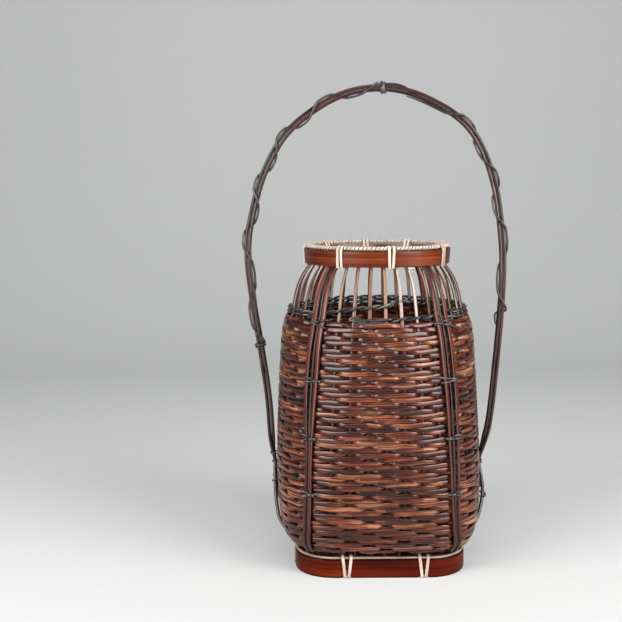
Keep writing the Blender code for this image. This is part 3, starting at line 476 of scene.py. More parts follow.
floor_cane = cane_finish("floor_strips", FLOOR_SHADES, fibre=(12, 700), patch=30, roughness=(0.4, 0.6),
                         coat=0.1, edge=(FLOOR_STRIP_WIDTH / 2, 0.0006))
floor_reach = FOOT_LINE_REACH - STAKE_FACE - CLEARANCE
floor_middle = FLOOR_BOTTOM + FLOOR_THICKNESS / 2
floor_rise = (FLOOR_THICKNESS - FLOOR_STRIP_THICKNESS) / 2 - FLOOR_CROSSING_GAP
strip_count = int(floor_reach / FLOOR_STRIP_PITCH)
luck = np.random.default_rng(5)
floor_paths = []
for turn in range(2):
    for row in range(-strip_count, strip_count + 1):
        offset = row * FLOOR_STRIP_PITCH
        if abs(offset) > floor_reach - FLOOR_STRIP_WIDTH / 2:
            continue
        edge_offset = abs(offset) + FLOOR_STRIP_WIDTH / 2
        reach = (floor_reach ** FOOT_SQUARENESS - edge_offset ** FOOT_SQUARENESS) ** (1 / FOOT_SQUARENESS)
        along = np.linspace(-reach, reach, max(int(reach / FLOOR_STEP), 8))
        wave = np.cos(math.pi * along / FLOOR_STRIP_PITCH) * (1 if (row + turn) % 2 == 0 else -1)
        height = floor_middle + floor_rise * np.clip(wave * 1.5, -1, 1)
        points = np.column_stack([along, np.full(len(along), offset), height])
        if turn:
            points = points[:, [1, 0, 2]]
        floor_paths.append(path(points, (0, 0, 1), tone=luck.uniform(0.2, 0.9), seed=luck.uniform(0, 90)))
floor_mat = strands("floor_mat", floor_paths, FLOOR_STRIP_WIDTH, FLOOR_STRIP_THICKNESS, floor_cane,
                    squareness=0.5)
give(floor_mat, "basket", "split_rattan", "base_floor")

# Stakes. Thirty-six split canes that run from the floor to the rim. The weave hides them on the
# body, where they are painted dark as shade for the dips of the weave, and they stand bare in the
# neck in their own tones, two nearly white.
BELLY_REACH = 0.0854
BELLY_HEIGHT = 0.090
SHOULDER_REACH = 0.0770
SHOULDER_HEIGHT = 0.2045
NECK_HEIGHT = 0.0439
BODY_FOOT_HEIGHT = 0.0207
WEAVE_BOTTOM = 0.0248
WEAVE_THICKNESS = 0.003
RIM_SQUARENESS = 2.0
SQUARENESS_POWER = 3
STAKE_COUNT = 36
STAKE_PHASE = 2.0
STAKE_WIDTH = 0.0030
STAKE_RIM_WIDTH = 0.0024
CORNERS = {"front_left": -41.0, "front_right": 39.5, "rear_right": 140.0, "rear_left": 220.0}
UPPER_TWINE_SHARE = 0.255
RIM_REACH = 0.0612
RIM_LEAN = 0.0008
RIM_BAND_WIDTH = 0.0126
RIM_BAND_THICKNESS = 0.0018
MIDDLE_LATH_THICKNESS = 0.0008
FOOT_TO_BELLY_SHARES = ((0, 0), (0.027, 0.16), (0.059, 0.35), (0.108, 0.55), (0.192, 0.72),
                        (0.307, 0.83), (0.466, 0.91), (0.74, 0.98), (1, 1))
BELLY_TO_SHOULDER_SHARES = ((0.175, 0.04), (0.393, 0.143), (0.699, 0.37), (0.856, 0.524),
                            (0.961, 0.78), (1, 1))
SHOULDER_TO_RIM_SHARES = ((0.1025, 0.08), (0.255, 0.164), (0.572, 0.364), (0.809, 0.66),
                          (0.945, 0.93), (1, 1))
WEAVE_OUTSIDE = STAKE_FACE + CLEARANCE + WEAVE_THICKNESS
MIDDLE_LATH_OUTSIDE = STAKE_FACE + CLEARANCE + MIDDLE_LATH_THICKNESS
RIM_BAND_INSIDE = MIDDLE_LATH_OUTSIDE + CLEARANCE
RIM_BAND_OUTSIDE = RIM_BAND_INSIDE + RIM_BAND_THICKNESS
RIM_BAND_BOTTOM = SHOULDER_HEIGHT + NECK_HEIGHT
RIM_BAND_TOP = RIM_BAND_BOTTOM + RIM_BAND_WIDTH
RIM_LINE_REACH = RIM_REACH - RIM_BAND_OUTSIDE
STAKE_SHADES = ((0.0, 0.022, 0.005, 0.004), (0.3, 0.075, 0.024, 0.016), (0.52, 0.19, 0.080, 0.050),
                (0.75, 0.31, 0.175, 0.125), (1.0, 0.46, 0.42, 0.38))
FRONT_STAKE_TONES = ((-25, 0.58), (-15, 0.62), (-5, 0.48), (5, 0.76), (15, 0.93), (25, 0.88))
# Low tone painted on the stakes under the weave: shade where they show in its dips.
STAKE_PAINTED_SHADE_TONE = 0.15
STAKE_FADE = 0.004
FRONT_STAKES_END = 30


def mix(start, end, share):
    return start + (end - start) * share


def ease(share):
    share = min(max(share, 0.0), 1.0)
    return share * share * (3 - 2 * share)


def zone_points(shares, low, high, low_reach, high_reach):
    return [(mix(low, high, height), mix(low_reach, high_reach, reach)) for height, reach in shares]


belly_line = BELLY_REACH - WEAVE_OUTSIDE
shoulder_line = SHOULDER_REACH - WEAVE_OUTSIDE
LINE_POINTS = [(0.0, FOOT_LINE_REACH),
               *zone_points(FOOT_TO_BELLY_SHARES, BODY_FOOT_HEIGHT, BELLY_HEIGHT, FOOT_LINE_REACH,
                            belly_line),
               *zone_points(BELLY_TO_SHOULDER_SHARES, BELLY_HEIGHT, SHOULDER_HEIGHT, belly_line,
                            shoulder_line),
               *zone_points(SHOULDER_TO_RIM_SHARES, SHOULDER_HEIGHT, RIM_BAND_BOTTOM, shoulder_line,
                            RIM_LINE_REACH - RIM_LEAN),
               (RIM_BAND_TOP, RIM_LINE_REACH)]


def monotone_slopes(points):
    """Slopes of a smooth line through the points that never swings past them."""
    secants = [(b[1] - a[1]) / (b[0] - a[0]) for a, b in zip(points, points[1:])]
    slopes = [secants[0]]
    for below, above in zip(secants, secants[1:]):
        turns = below * above <= 0
        slopes.append(0.0 if turns else 2 * below * above / (below + above))
    slopes.append(secants[-1])
    return slopes


LINE_SLOPES = monotone_slopes(LINE_POINTS)


def middle_line(height):
    """Half width of the stakes' middle line at a height, and how fast it changes there."""
    last = len(LINE_POINTS) - 2
    index = 0
    while index < last and height > LINE_POINTS[index + 1][0]:
        index += 1
    (low, start), (high, end) = LINE_POINTS[index], LINE_POINTS[index + 1]
    span = high - low
    t = (height - low) / span
    first, second = LINE_SLOPES[index] * span, LINE_SLOPES[index + 1] * span
    square = 3 * (end - start) - 2 * first - second
    cube = first + second - 2 * (end - start)
    reach = start + first * t + square * t ** 2 + cube * t ** 3
    return reach, (first + 2 * square * t + 3 * cube * t ** 2) / span


def squareness(height):
    share = (height - BODY_FOOT_HEIGHT) / (RIM_BAND_BOTTOM - BODY_FOOT_HEIGHT)
    return mix(RIM_SQUARENESS, FOOT_SQUARENESS, (1 - min(max(share, 0.0), 1.0)) ** SQUARENESS_POWER)


def body_point(azimuth, height, offset):
    """A point of the body, offset along the surface's normal from the stakes' middle line."""
    reach, slope = middle_line(height)
    shorten = 1 / math.sqrt(1 + slope * slope)
    way = outward(azimuth)
    exponent = squareness(height)
    way = way / (abs(way[0]) ** exponent + abs(way[1]) ** exponent) ** (1 / exponent)
    point = way * (reach + offset * shorten)
    point[2] = height - offset * slope * shorten
    return point


def arc_angle(length, azimuth, height):
    """Angle that a length along the body takes up."""
    return math.degrees(length / np.linalg.norm(body_point(azimuth, height, 0.0)[:2]))


def body_path(places, **values):
    """A strand on the body: its places are azimuths, heights and offsets."""
    points = np.array([body_point(*place) for place in places])
    raised = np.array([body_point(azimuth, height, offset + 0.001) for azimuth, height, offset in places])
    return path(points, raised - points, **values)


def from_front(azimuth):
    """An azimuth as the shorter turn from the front, leftwards below zero."""
    return (azimuth + 180) % 360 - 180


def stake_azimuths():
    """Even steps, except that each corner strut has a stake right behind it."""
    pitch = 360 / STAKE_COUNT
    azimuths = []
    for index in range(STAKE_COUNT):
        azimuth = STAKE_PHASE + index * pitch
        for corner in CORNERS.values():
            away = from_front(azimuth - corner)
            if abs(away) < pitch / 2:
                azimuth -= away
        azimuths.append(azimuth)
    return azimuths


UPPER_TWINE_HEIGHT = mix(SHOULDER_HEIGHT, RIM_BAND_BOTTOM, UPPER_TWINE_SHARE)


def rim_share(height):
    """How far a height lies from the upper twine to the rim band, eased."""
    return ease((height - UPPER_TWINE_HEIGHT) / (RIM_BAND_BOTTOM - UPPER_TWINE_HEIGHT))


stake_cane = cane_finish("stake_cane", STAKE_SHADES, fibre=(9, 1500), patch=14, spread=(0.9, 0.5, 0.3),
                         coat=0.3, edge=(STAKE_WIDTH / 2, 0.0006), edge_painted_shade=(0.03, 0.010, 0.008),
                         stain=(0.8, 1.0, 0.7))
stake_heights = np.concatenate([np.linspace(FLOOR_BOTTOM, WEAVE_BOTTOM, 7)[:-1],
                                np.linspace(WEAVE_BOTTOM, SHOULDER_HEIGHT, 22),
                                np.linspace(SHOULDER_HEIGHT, RIM_BAND_TOP, 16)[1:]])
stake_girth = [mix(1.0, STAKE_RIM_WIDTH / STAKE_WIDTH, rim_share(height)) for height in stake_heights]
bare_shares = [ease((height - SHOULDER_HEIGHT + STAKE_FADE) / (2 * STAKE_FADE)) for height in stake_heights]
azimuths = stake_azimuths()
luck = np.random.default_rng(21)
stake_paths = []
for azimuth in azimuths:
    tone = luck.uniform(0.30, 0.95)
    if abs(from_front(azimuth)) < FRONT_STAKES_END:
        tone = np.interp(from_front(azimuth), *zip(*FRONT_STAKE_TONES))
    # Painted shade: under the weave each stake darkens to a low tone, where it shows only in the weave's
    # dips.
    tones = [mix(STAKE_PAINTED_SHADE_TONE, tone, share) for share in bare_shares]
    places = [(azimuth, height, 0.0) for height in stake_heights]
    stake_paths.append(body_path(places, girth=stake_girth, tone=tones, seed=luck.uniform(0, 90)))
stakes = strands("stakes", stake_paths, STAKE_WIDTH, STAKE_THICKNESS, stake_cane, sides=10, squareness=0.62)
give(stakes, "basket", "stake_rattan", *[f"{side}_stake_{step}" for side in ("front", "right", "rear", "left")
                                         for step in range(1, 10)])

# Weave. Fifty-five rows of split rattan, skin side out, each over two stakes and behind the
# third, and each row one stake on from the row below, so that the floats climb in steps. The
# lowest rows are the stoutest.
WEAVE_ROWS = 55
WEAVE_STRAND_WIDTH = 0.0037
WEAVE_STRAND_THICKNESS = 0.0021
WEAVE_OVER = 0.0026
WEAVE_BEHIND = -0.0018
WEAVE_CROWD = 0.00042
WEAVE_WANDER = 0.0007
WEAVE_STEPS = 6
STOUT_ROWS = 16
STOUT_GIRTH = 1.30
STOUT_BEHIND = 0.32
STOUT_BESIDE = 0.17
FLOAT_TONES = 0.32
ROW_TONES = 0.15
WEAVE_SHADES = ((0.0, 0.007, 0.001, 0.001), (0.3, 0.030, 0.004, 0.002), (0.52, 0.074, 0.011, 0.003),
                (0.74, 0.165, 0.034, 0.009), (1.0, 0.38, 0.16, 0.08))


def make_weave_tree():
    """Moves each row's points out over two stakes and in behind the third, and crowds the rows
    into the dips of their neighbours."""
    tree, start = new_tree("over_two_behind_one", ("Over", "Behind", "Crowd", "Wander",
                                                   "Stout Behind", "Stout Beside"))
    place = calc(tree, "ADD", attribute(tree, "phase"), attribute(tree, "row"))

    def dip(shift):
        """1 behind a stake and 0 over one, for the row that many rows up."""
        here = calc(tree, "ADD", place, shift + 3.0)
        low = calc(tree, "FLOOR", here)
        behind = [calc(tree, "LESS_THAN", calc(tree, "MODULO", calc(tree, "ADD", low, step), 3.0), 0.5)
                  for step in (0.0, 1.0)]
        share = calc(tree, "FRACT", here)
        leaving = calc(tree, "MULTIPLY", behind[0], calc(tree, "SUBTRACT", 1.0, share))
        nearness = calc(tree, "ADD", leaving, calc(tree, "MULTIPLY", behind[1], share))
        return remap(tree, nearness, (0.46, 1.0), interpolation_type="SMOOTHSTEP")

    own = dip(0.0)
    depth = calc(tree, "SUBTRACT", start["Over"], start["Behind"])
    reach = calc(tree, "SUBTRACT", start["Over"], calc(tree, "MULTIPLY", own, depth))
    way = attribute(tree, "outward", "FLOAT_VECTOR")
    out = add_node(tree, "ShaderNodeVectorMath", {0: way, "Scale": reach}, operation="SCALE").outputs[0]
    crowd = calc(tree, "MULTIPLY", calc(tree, "SUBTRACT", dip(1.0), dip(-1.0)), start["Crowd"])
    wander = swing(tree, noise(tree, {"Scale": 55.0, "Detail": 1.0}), start["Wander"])
    lift = vector_of(tree, 0.0, 0.0, calc(tree, "ADD", crowd, wander))
    move = add_node(tree, "ShaderNodeVectorMath", {0: out, 1: lift}, operation="ADD").outputs[0]
    moved = add_node(tree, "GeometryNodeSetPosition", {"Geometry": start["Paths"], "Offset": move}).outputs[0]
    girth = calc(tree, "ADD", attribute(tree, "girth"), calc(tree, "MULTIPLY", own, start["Stout Behind"]))
    beside = calc(tree, "ADD", dip(1.0), dip(-1.0))
    girth = calc(tree, "ADD", girth, calc(tree, "MULTIPLY", beside, start["Stout Beside"]))
    add_node(tree, "NodeGroupOutput", {0: store(tree, moved, "girth", girth)})
    return tree


weave_cane = cane_finish("weave_rattan", WEAVE_SHADES, fibre=(14, 1700), patch=26, spread=(0.7, 0.9, 0.7),
                         roughness=(0.17, 0.38), coat=0.50, coat_roughness=0.15, relief=0.0002,
                         edge=(WEAVE_STRAND_WIDTH / 2, 0.0007), edge_painted_shade=(0.014, 0.002, 0.002),
                         stain=(0.62, 1.0, 0.95), shine=0.24)
first_stake = azimuths.index(CORNERS["rear_left"])
slant_heights = np.linspace(WEAVE_BOTTOM, SHOULDER_HEIGHT, 200)
slant_reaches = np.array([middle_line(height)[0] for height in slant_heights])
slant_steps = np.hypot(np.diff(slant_heights), np.diff(slant_reaches))
slant_lengths = np.concatenate([[0], np.cumsum(slant_steps)])
luck = np.random.default_rng(8)
weave_paths = []
for row in range(WEAVE_ROWS):
    height = float(np.interp((row + 0.5) / WEAVE_ROWS * slant_lengths[-1], slant_lengths, slant_heights))
    places = []
    phases = []
    for index in range(STAKE_COUNT):
        here = azimuths[(first_stake + index) % STAKE_COUNT]
        sweep = (azimuths[(first_stake + index + 1) % STAKE_COUNT] - here) % 360
        for step in range(WEAVE_STEPS):
            places.append((here + sweep * step / WEAVE_STEPS, height, 0.0))
            phases.append(index + step / WEAVE_STEPS)
    floats = np.repeat(luck.uniform(-1, 1, STAKE_COUNT // 3), 3 * WEAVE_STEPS)
    tones = 0.5 + FLOAT_TONES * floats + luck.uniform(-ROW_TONES, ROW_TONES)
    girth = luck.uniform(0.94, 1.03) * mix(STOUT_GIRTH, 1.0, ease(row / STOUT_ROWS))
    item = body_path(places, girth=girth, tone=np.roll(tones, row * WEAVE_STEPS),
                     seed=luck.uniform(0, 200), closed=True)
    item.update(phase=np.array(phases), row=np.full(len(places), float(row)))
    weave_paths.append(item)
guide = guide_object("weave", weave_paths)
put_values(guide.data, "outward", "FLOAT_VECTOR", "vector", [item["facing"] for item in weave_paths])
add_modifier(guide, make_weave_tree(), {"Over": WEAVE_OVER, "Behind": WEAVE_BEHIND, "Crowd": WEAVE_CROWD,
                                        "Wander": WEAVE_WANDER, "Stout Behind": STOUT_BEHIND,
                                        "Stout Beside": STOUT_BESIDE})
add_modifier(guide, STRAND_TREE, {"Width": WEAVE_STRAND_WIDTH, "Thickness": WEAVE_STRAND_THICKNESS,
                                  "Squareness": 0.52, "Back": 0.8, "Sides": 8, "Finish": weave_cane})
weave = settle(guide, "weave")
give(weave, "basket", "split_rattan", "woven_wall", "woven_wall_low")

# Corner struts. At each corner two broad laths and a thin dark one between them run from the
# foot over the weave and the twine to under the rim band, tied down with dark vine. The front
# ones were bent to the body by hand: low down they drift inwards, lie closer and are narrower.
LATH_WIDTH = 0.0042
LATH_RIM_WIDTH = 0.0032
LATH_RIM_SPREAD = 0.0036
LATH_THICKNESS = 0.0018
MIDDLE_LATH_WIDTH = 0.0020
LATH_BOTTOM = 0.0265
LATH_ON_WEAVE = WEAVE_OUTSIDE + CLEARANCE
LATH_HEIGHTS = (0.030, 0.043, 0.059, 0.079, 0.094, 0.110, 0.125, 0.150, 0.168, 0.182, 0.195, 0.229)
LATH_MM_WIDTHS = (2.9, 2.8, 2.7, 2.6, 2.6, 2.9, 3.4, 3.9, 4.0, 4.2, 4.2, 4.2)
LATH_MM_SPREADS = {"front_left": (2.1, 2.0, 2.1, 1.9, 1.9, 2.2, 3.2, 4.2, 4.5, 4.1, 3.8, 3.8),
                   "front_right": (2.4, 2.3, 2.6, 3.0, 3.4, 4.0, 4.1, 4.7, 4.8, 4.8, 4.6, 4.5)}
LATH_TURNS = {"front_left": (1.5, 2.8, 3.1, 3.1, 2.6, 1.9, 1.0, 0.5, 0.6, 0.9, 1.6, 1.6),
              "front_right": (0.0, -2.2, -2.7, -2.7, -2.2, -1.7, -1.2, -0.6, -1.2, -1.6, -2.2, -2.1)}
STRAIGHT_TURNS = (0.0,) * len(LATH_HEIGHTS)
# Tones by height on the laths, darker lower down: painted shade, as the light falls from above.
LATH_PAINTED_SHADE_TONES = ((0.03, 0.30), (0.09, 0.38), (0.17, 0.62), (0.23, 0.78))
STRAND_END = 0.45
CORNER_TIE_RADIUS = 0.0009
CORNER_TIE_SLANT = 0.0022
CORNER_TIE_HEIGHTS = (0.2035, 0.1612, 0.1164, 0.0728)
CORNER_TIE_DROP = 0.0021
CORNER_TIE_SAG = 0.0002
CORNER_TIE_ROUND = 0.0010
LATH_EDGE_INSET = 0.0004
CORNER_TURNS = {"front_left": ((1.0, 0.0, 0.0050, 0.0), (-0.7, 0.0, 0.0, 0.0), (-0.8, 0.0045, 0.0, 0.0),
                               (-0.9, 0.0, 0.0, 0.0035)),
                "front_right": ((0.9, 0.0, 0.0, 0.0060), (-0.5, 0.0110, 0.0, 0.0), (0.5, 0.0, 0.0040, 0.0),
                                (0.7, 0.0040, 0.0, 0.0))}
REAR_TURNS = ((0.8, 0.0040, 0.0, 0.0), (-0.7, 0.0, 0.0040, 0.0), (0.7, 0.0, 0.0, 0.0),
              (-0.9, 0.0, 0.0035, 0.0))
LATH_SHADES = ((0.0, 0.006, 0.001, 0.001), (0.35, 0.030, 0.005, 0.003), (0.65, 0.13, 0.030, 0.019),
               (1.0, 0.38, 0.18, 0.14))
DARK_LATH_SHADES = ((0.0, 0.012, 0.006, 0.005), (0.6, 0.035, 0.016, 0.012), (1.0, 0.12, 0.07, 0.055))
VINE_SHADES = ((0.0, 0.004, 0.003, 0.003), (0.45, 0.012, 0.008, 0.007), (0.72, 0.044, 0.036, 0.033),
               (1.0, 0.21, 0.185, 0.17))

lath_cane = cane_finish("lath_cane", LATH_SHADES, fibre=(7, 1300), patch=9, spread=(0.35, 0.5, 0.4),
                        roughness=(0.20, 0.40), coat=0.25, edge=(LATH_WIDTH / 2, 0.0007),
                        edge_painted_shade=(0.010, 0.002, 0.002), shine=0.22)
dark_lath = cane_finish("dark_lath", DARK_LATH_SHADES, fibre=(9, 1500), patch=20, roughness=(0.3, 0.5))
dark_vine = cane_finish("dark_vine", VINE_SHADES, fibre=(90, 2600), patch=90, spread=(0.3, 0.5, 0.5),
                        roughness=(0.28, 0.5), coat=0.6, coat_roughness=0.14, relief=0.0001, shine=0.4)
lath_heights = np.concatenate([np.linspace(LATH_BOTTOM, SHOULDER_HEIGHT, 44),
                               np.linspace(SHOULDER_HEIGHT, RIM_BAND_TOP, 18)[1:]])
luck = np.random.default_rng(31)


def tied_end(line, steps=3):
    """Girths that round off a strand's two ends."""
    girth = np.ones(len(line))
    for index in range(steps):
        girth[index] = girth[-1 - index] = mix(STRAND_END, 1.0, (index / steps) ** 0.5)
    return girth


def vine_piece(name, paths, radius, *nodes):
    """A piece of dark round vine on the basket."""
    give(strands(name, paths, 2 * radius, 2 * radius, dark_vine), "basket", "dark_vine", *nodes)


def strut_at(corner, height):
    """A strut's azimuth at a height, how far its broad laths spread and how wide they are."""
    free = 1 - rim_share(height)
    turn = float(np.interp(height, LATH_HEIGHTS, LATH_TURNS.get(corner, STRAIGHT_TURNS)))
    spreads = LATH_MM_SPREADS.get(corner, LATH_MM_SPREADS["front_right"])
    spread = float(np.interp(height, LATH_HEIGHTS, spreads)) / 1000
    width = float(np.interp(height, LATH_HEIGHTS, LATH_MM_WIDTHS)) / 1000
    return CORNERS[corner] + turn * free, mix(LATH_RIM_SPREAD, spread, free), mix(LATH_RIM_WIDTH, width, free)


def corner_tie(corner, height, slant, left_end, right_end):
    """One turn of vine over the three laths, with its ends out on the weave where it has any."""
    azimuth, spread, width = strut_at(corner, height)
    over = LATH_ON_WEAVE + LATH_THICKNESS + CORNER_TIE_RADIUS
    valley = LATH_ON_WEAVE + MIDDLE_LATH_THICKNESS + CORNER_TIE_RADIUS
    side = spread + width / 2 + CORNER_TIE_RADIUS
    low = WEAVE_OUTSIDE + CORNER_TIE_RADIUS
    half = [(0.0, valley), (spread - width / 2 + LATH_EDGE_INSET, over - CORNER_TIE_SAG),
            (spread, over), (side - CORNER_TIE_ROUND, over),
            (side + CORNER_TIE_SAG, mix(low, over, 0.45))]
    places = [(-arc, offset) for arc, offset in reversed(half[1:])] + half
    ends = []
    for hand, end in ((-1, left_end), (1, right_end)):
        loose = [(0.0012, 0.0), (end * 0.6, 0.0003), (end, 0.0009)] if end else [(0.0004, -0.0010)]
        ends.append([(hand * (side + reach), low + rise) for reach, rise in loose])
    line = []
    for arc, offset in ends[0][::-1] + places + ends[1]:
        level = height + slant * arc / side
        line.append(body_point(azimuth + arc_angle(arc, azimuth, level), level, offset))
    line = smooth_line(line, 4)
    facing = line - body_point(azimuth, height, 0.0) * np.array([1, 1, 0]) * 0.9 - np.array([0, 0, height])
    # The ties take tones from the light end of the dark vine's shades: a painted highlight over their own
    # dark colour.
    return path(line, facing, girth=tied_end(line), tone=luck.uniform(0.75, 1.0), seed=luck.uniform(0, 90))


rims = [rim_share(height) for height in lath_heights]
for corner in CORNERS:
    strut = [strut_at(corner, height) for height in lath_heights]
    laths = []
    for hand in (-1, 1):
        places = []
        for height, rim, (middle, spread, width) in zip(lath_heights, rims, strut):
            inner = mix(LATH_ON_WEAVE, MIDDLE_LATH_OUTSIDE - LATH_THICKNESS, rim)
            azimuth = middle + arc_angle(hand * spread, middle, height)
            places.append((azimuth, height, inner + LATH_THICKNESS / 2))
        girth = [width / LATH_WIDTH for middle, spread, width in strut]
        # Painted shade: the laths' tone drops towards the foot.
        tones = luck.uniform(-0.08, 0.08) + np.interp(lath_heights, *zip(*LATH_PAINTED_SHADE_TONES))
        laths.append(body_path(places, girth=girth, tone=tones, seed=luck.uniform(0, 90)))
    pair = strands(f"{corner}_laths", laths, LATH_WIDTH, LATH_THICKNESS, lath_cane, sides=12, squareness=0.6)
    give(pair, "basket", "lath_rattan", f"{corner}_strut")
    places = []
    girth = []
    for height, rim, (middle, spread, width) in zip(lath_heights, rims, strut):
        inner = mix(LATH_ON_WEAVE, STAKE_FACE + CLEARANCE, rim)
        places.append((middle, height, inner + MIDDLE_LATH_THICKNESS / 2))
        girth.append(min(1.0, (2 * spread - width + 0.0006) / MIDDLE_LATH_WIDTH))
    thin_line = body_path(places, girth=girth, tone=0.4, seed=luck.uniform(0, 90))
    thin = strands(f"{corner}_thin_lath", [thin_line], MIDDLE_LATH_WIDTH, MIDDLE_LATH_THICKNESS, dark_lath,
                   squareness=0.7)
    give(thin, "basket", "dark_vine", f"{corner}_strut")
    turns = []
    corner_turns = CORNER_TURNS.get(corner, REAR_TURNS)
    for height, (lean, left_end, right_end, drop) in zip(CORNER_TIE_HEIGHTS, corner_turns):
        slant = lean * CORNER_TIE_SLANT
        turns.append(corner_tie(corner, height, slant, left_end, right_end))
        turns.append(corner_tie(corner, height - CORNER_TIE_DROP, -slant * 0.5, 0.0, drop))
    vine_piece(f"{corner}_ties", turns, CORNER_TIE_RADIUS, f"{corner}_strut")

# Shoulder twine. Two rows of dark vine round the bare stakes, each of two strands that cross
# between every two stakes, one outside and one inside. Their ends show at the front: the lower
# row starts in a loop there, and the upper row climbs and ends in two loose tails.
TWINE_RADIUS = 0.0011
TWINE_RISE = 0.00115
TWINE_REACH = 0.0720
TWINE_END_LIFT = 0.0014
TWINE_LOOP_LIFT = 0.0020
LOWER_ROW = ((-14, 0.2072), (10, 0.2085), (32, 0.2097), (47, 0.2090), (60, 0.2077), (90, 0.2075),
             (180, 0.2077), (270, 0.2077), (318, 0.2082))
UPPER_ROW = ((40, 0.2136), (60, 0.2116), (90, 0.2112), (180, 0.2114), (270, 0.2112), (300, 0.2112),
             (318, 0.2110), (330, 0.2138), (340.5, 0.2162), (357, 0.2182), (366, 0.2196), (376, 0.2246))
LOWER_ENDS = (-14.0, -16.5, 318.0, 317.0)
UPPER_ENDS = (41.0, 42.0, 366.5, 375.5)
LOOP_PLACES = ((-13.0, 0.2074), (-15.0, 0.2088), (-18.0, 0.2092), (-19.5, 0.2078), (-17.0, 0.2066),
               (-13.5, 0.2062), (-10.0, 0.2066))

half_gap = math.pi * TWINE_REACH / STAKE_COUNT
twine_offset = (STAKE_FACE + CLEARANCE + TWINE_RADIUS) / (1 - STAKE_WIDTH / 2 / half_gap)


def row_point(row, azimuth, offset, rise=0.0):
    return body_point(azimuth, float(np.interp(azimuth, *zip(*row))) + rise, offset)


def twine_line(row, start, end, hand):
    """One strand of a row: outside every other stake, inside the rest, crossing its mate between."""
    stakes_met = [azimuth + turn for turn in (0, 360) for azimuth in azimuths
                  if start + 3 < azimuth + turn < end - 3]
    line = [row_point(row, start, twine_offset * 0.9)]
    for index, azimuth in enumerate(stakes_met):
        side = hand if index % 2 == 0 else -hand
        line.append(row_point(row, azimuth, side * twine_offset))
        following = stakes_met[index + 1] if index + 1 < len(stakes_met) else end
        between = 0.0 if following != end else twine_offset
        line.append(row_point(row, (azimuth + following) / 2, between, side * TWINE_RISE))
    line.append(row_point(row, end, twine_offset + TWINE_END_LIFT))
    return smooth_line(line, 5)


luck = np.random.default_rng(41)
for row_name, row, ends in (("lower", LOWER_ROW, LOWER_ENDS), ("upper", UPPER_ROW, UPPER_ENDS)):
    for number, strand in enumerate(("first", "second")):
        line = twine_line(row, ends[number], ends[2 + number], 1 - 2 * number)
        swell = 0.10 * np.sin(np.arange(len(line)) * 0.37 + 3 * number) * luck.uniform(0.5, 1.0)
        item = path(line, line * np.array([1, 1, 0]), girth=tied_end(line, 2) * (1 + swell),
                    tone=0.5 + 0.25 * number, seed=luck.uniform(0, 90))
        vine_piece(f"{row_name}_twine_{strand}", [item], TWINE_RADIUS, f"{row_name}_twine_{strand}_strand")
loop_offset = twine_offset + TWINE_LOOP_LIFT
line = smooth_line([body_point(azimuth, height, loop_offset) for azimuth, height in LOOP_PLACES], 5)
item = path(line, line * np.array([1, 1, 0]), girth=tied_end(line), tone=0.7, seed=4.0)
vine_piece("twine_end_loop", [item], 0.9 * TWINE_RADIUS)

# Rim bands. A broad lacquered bamboo hoop outside and a plainer one inside pinch the stakes' and
# laths' upper ends between them.
RIM_STEPS = 120
RIM_MIDDLE_HEIGHT = (RIM_BAND_BOTTOM + RIM_BAND_TOP) / 2
INNER_BAND_OUTSIDE = -STAKE_FACE - CLEARANCE
INNER_BAND_INSIDE = INNER_BAND_OUTSIDE - RIM_BAND_THICKNESS
RIM_SHADES = ((0.0, 0.028, 0.003, 0.001), (0.35, 0.070, 0.009, 0.002), (0.62, 0.14, 0.022, 0.004),
              (1.0, 0.30, 0.075, 0.018))
INNER_SHADES = ((0.0, 0.03, 0.016, 0.010), (0.4, 0.10, 0.060, 0.038), (0.7, 0.22, 0.15, 0.11),
                (1.0, 0.42, 0.34, 0.28))

rim_lacquer = cane_finish("rim_lacquer", RIM_SHADES, fibre=(8, 500), patch=20, spread=(0.3, 0.5, 0.6),
                          roughness=(0.24, 0.42), coat=0.15, coat_roughness=0.12, relief=0.00007,
                          edge=(RIM_BAND_WIDTH / 2, 0.0008), edge_painted_shade=(0.04, 0.009, 0.005), shine=0.18)
inner_bamboo = cane_finish("inner_bamboo", INNER_SHADES, fibre=(10, 700), patch=25, roughness=(0.28, 0.5),
                           edge=(RIM_BAND_WIDTH / 2, 0.0012), edge_painted_shade=(0.03, 0.012, 0.008))
for band, inside, outside, finish, slot, values in (
        ("outer", RIM_BAND_INSIDE, RIM_BAND_OUTSIDE, rim_lacquer, "lacquered_band",
         {"tone": 0.6, "seed": 14.0}),
        ("inner", INNER_BAND_INSIDE, INNER_BAND_OUTSIDE, inner_bamboo, "inner_band", {"seed": 27.0})):
    middle = (inside + outside) / 2
    places = [(180 + 360 * step / RIM_STEPS, RIM_MIDDLE_HEIGHT, middle) for step in range(RIM_STEPS)]
    hoop = strands(f"rim_{band}_hoop", [body_path(places, closed=True, **values)], RIM_BAND_WIDTH,
                   RIM_BAND_THICKNESS, finish, sides=20, squareness=0.3)
    give(hoop, "basket", slot, f"rim_{band}_band")

# Rim binding. A light strip of cane wound close and slanting round a thin core cane, which
# covers the gap between the two hoops all the way round.
RIM_CORE_RADIUS = 0.0007
BINDING_TURNS = 112
BINDING_STEPS = 12
BINDING_STRIP_WIDTH = 0.0026
BINDING_STRIP_THICKNESS = 0.0007
BINDING_SLACK = 0.0002
BINDING_CURL = RIM_CORE_RADIUS + BINDING_STRIP_THICKNESS / 2 + BINDING_SLACK
BINDING_MIDDLE_HEIGHT = RIM_BAND_TOP + CLEARANCE + BINDING_STRIP_THICKNESS / 2 + BINDING_CURL
BINDING_TOP = BINDING_MIDDLE_HEIGHT + BINDING_CURL + BINDING_STRIP_THICKNESS / 2
BINDING_REACH = RIM_LINE_REACH + STAKE_FACE


def binding_middle(azimuth):
    return outward(azimuth) * BINDING_REACH + np.array([0, 0, BINDING_MIDDLE_HEIGHT])


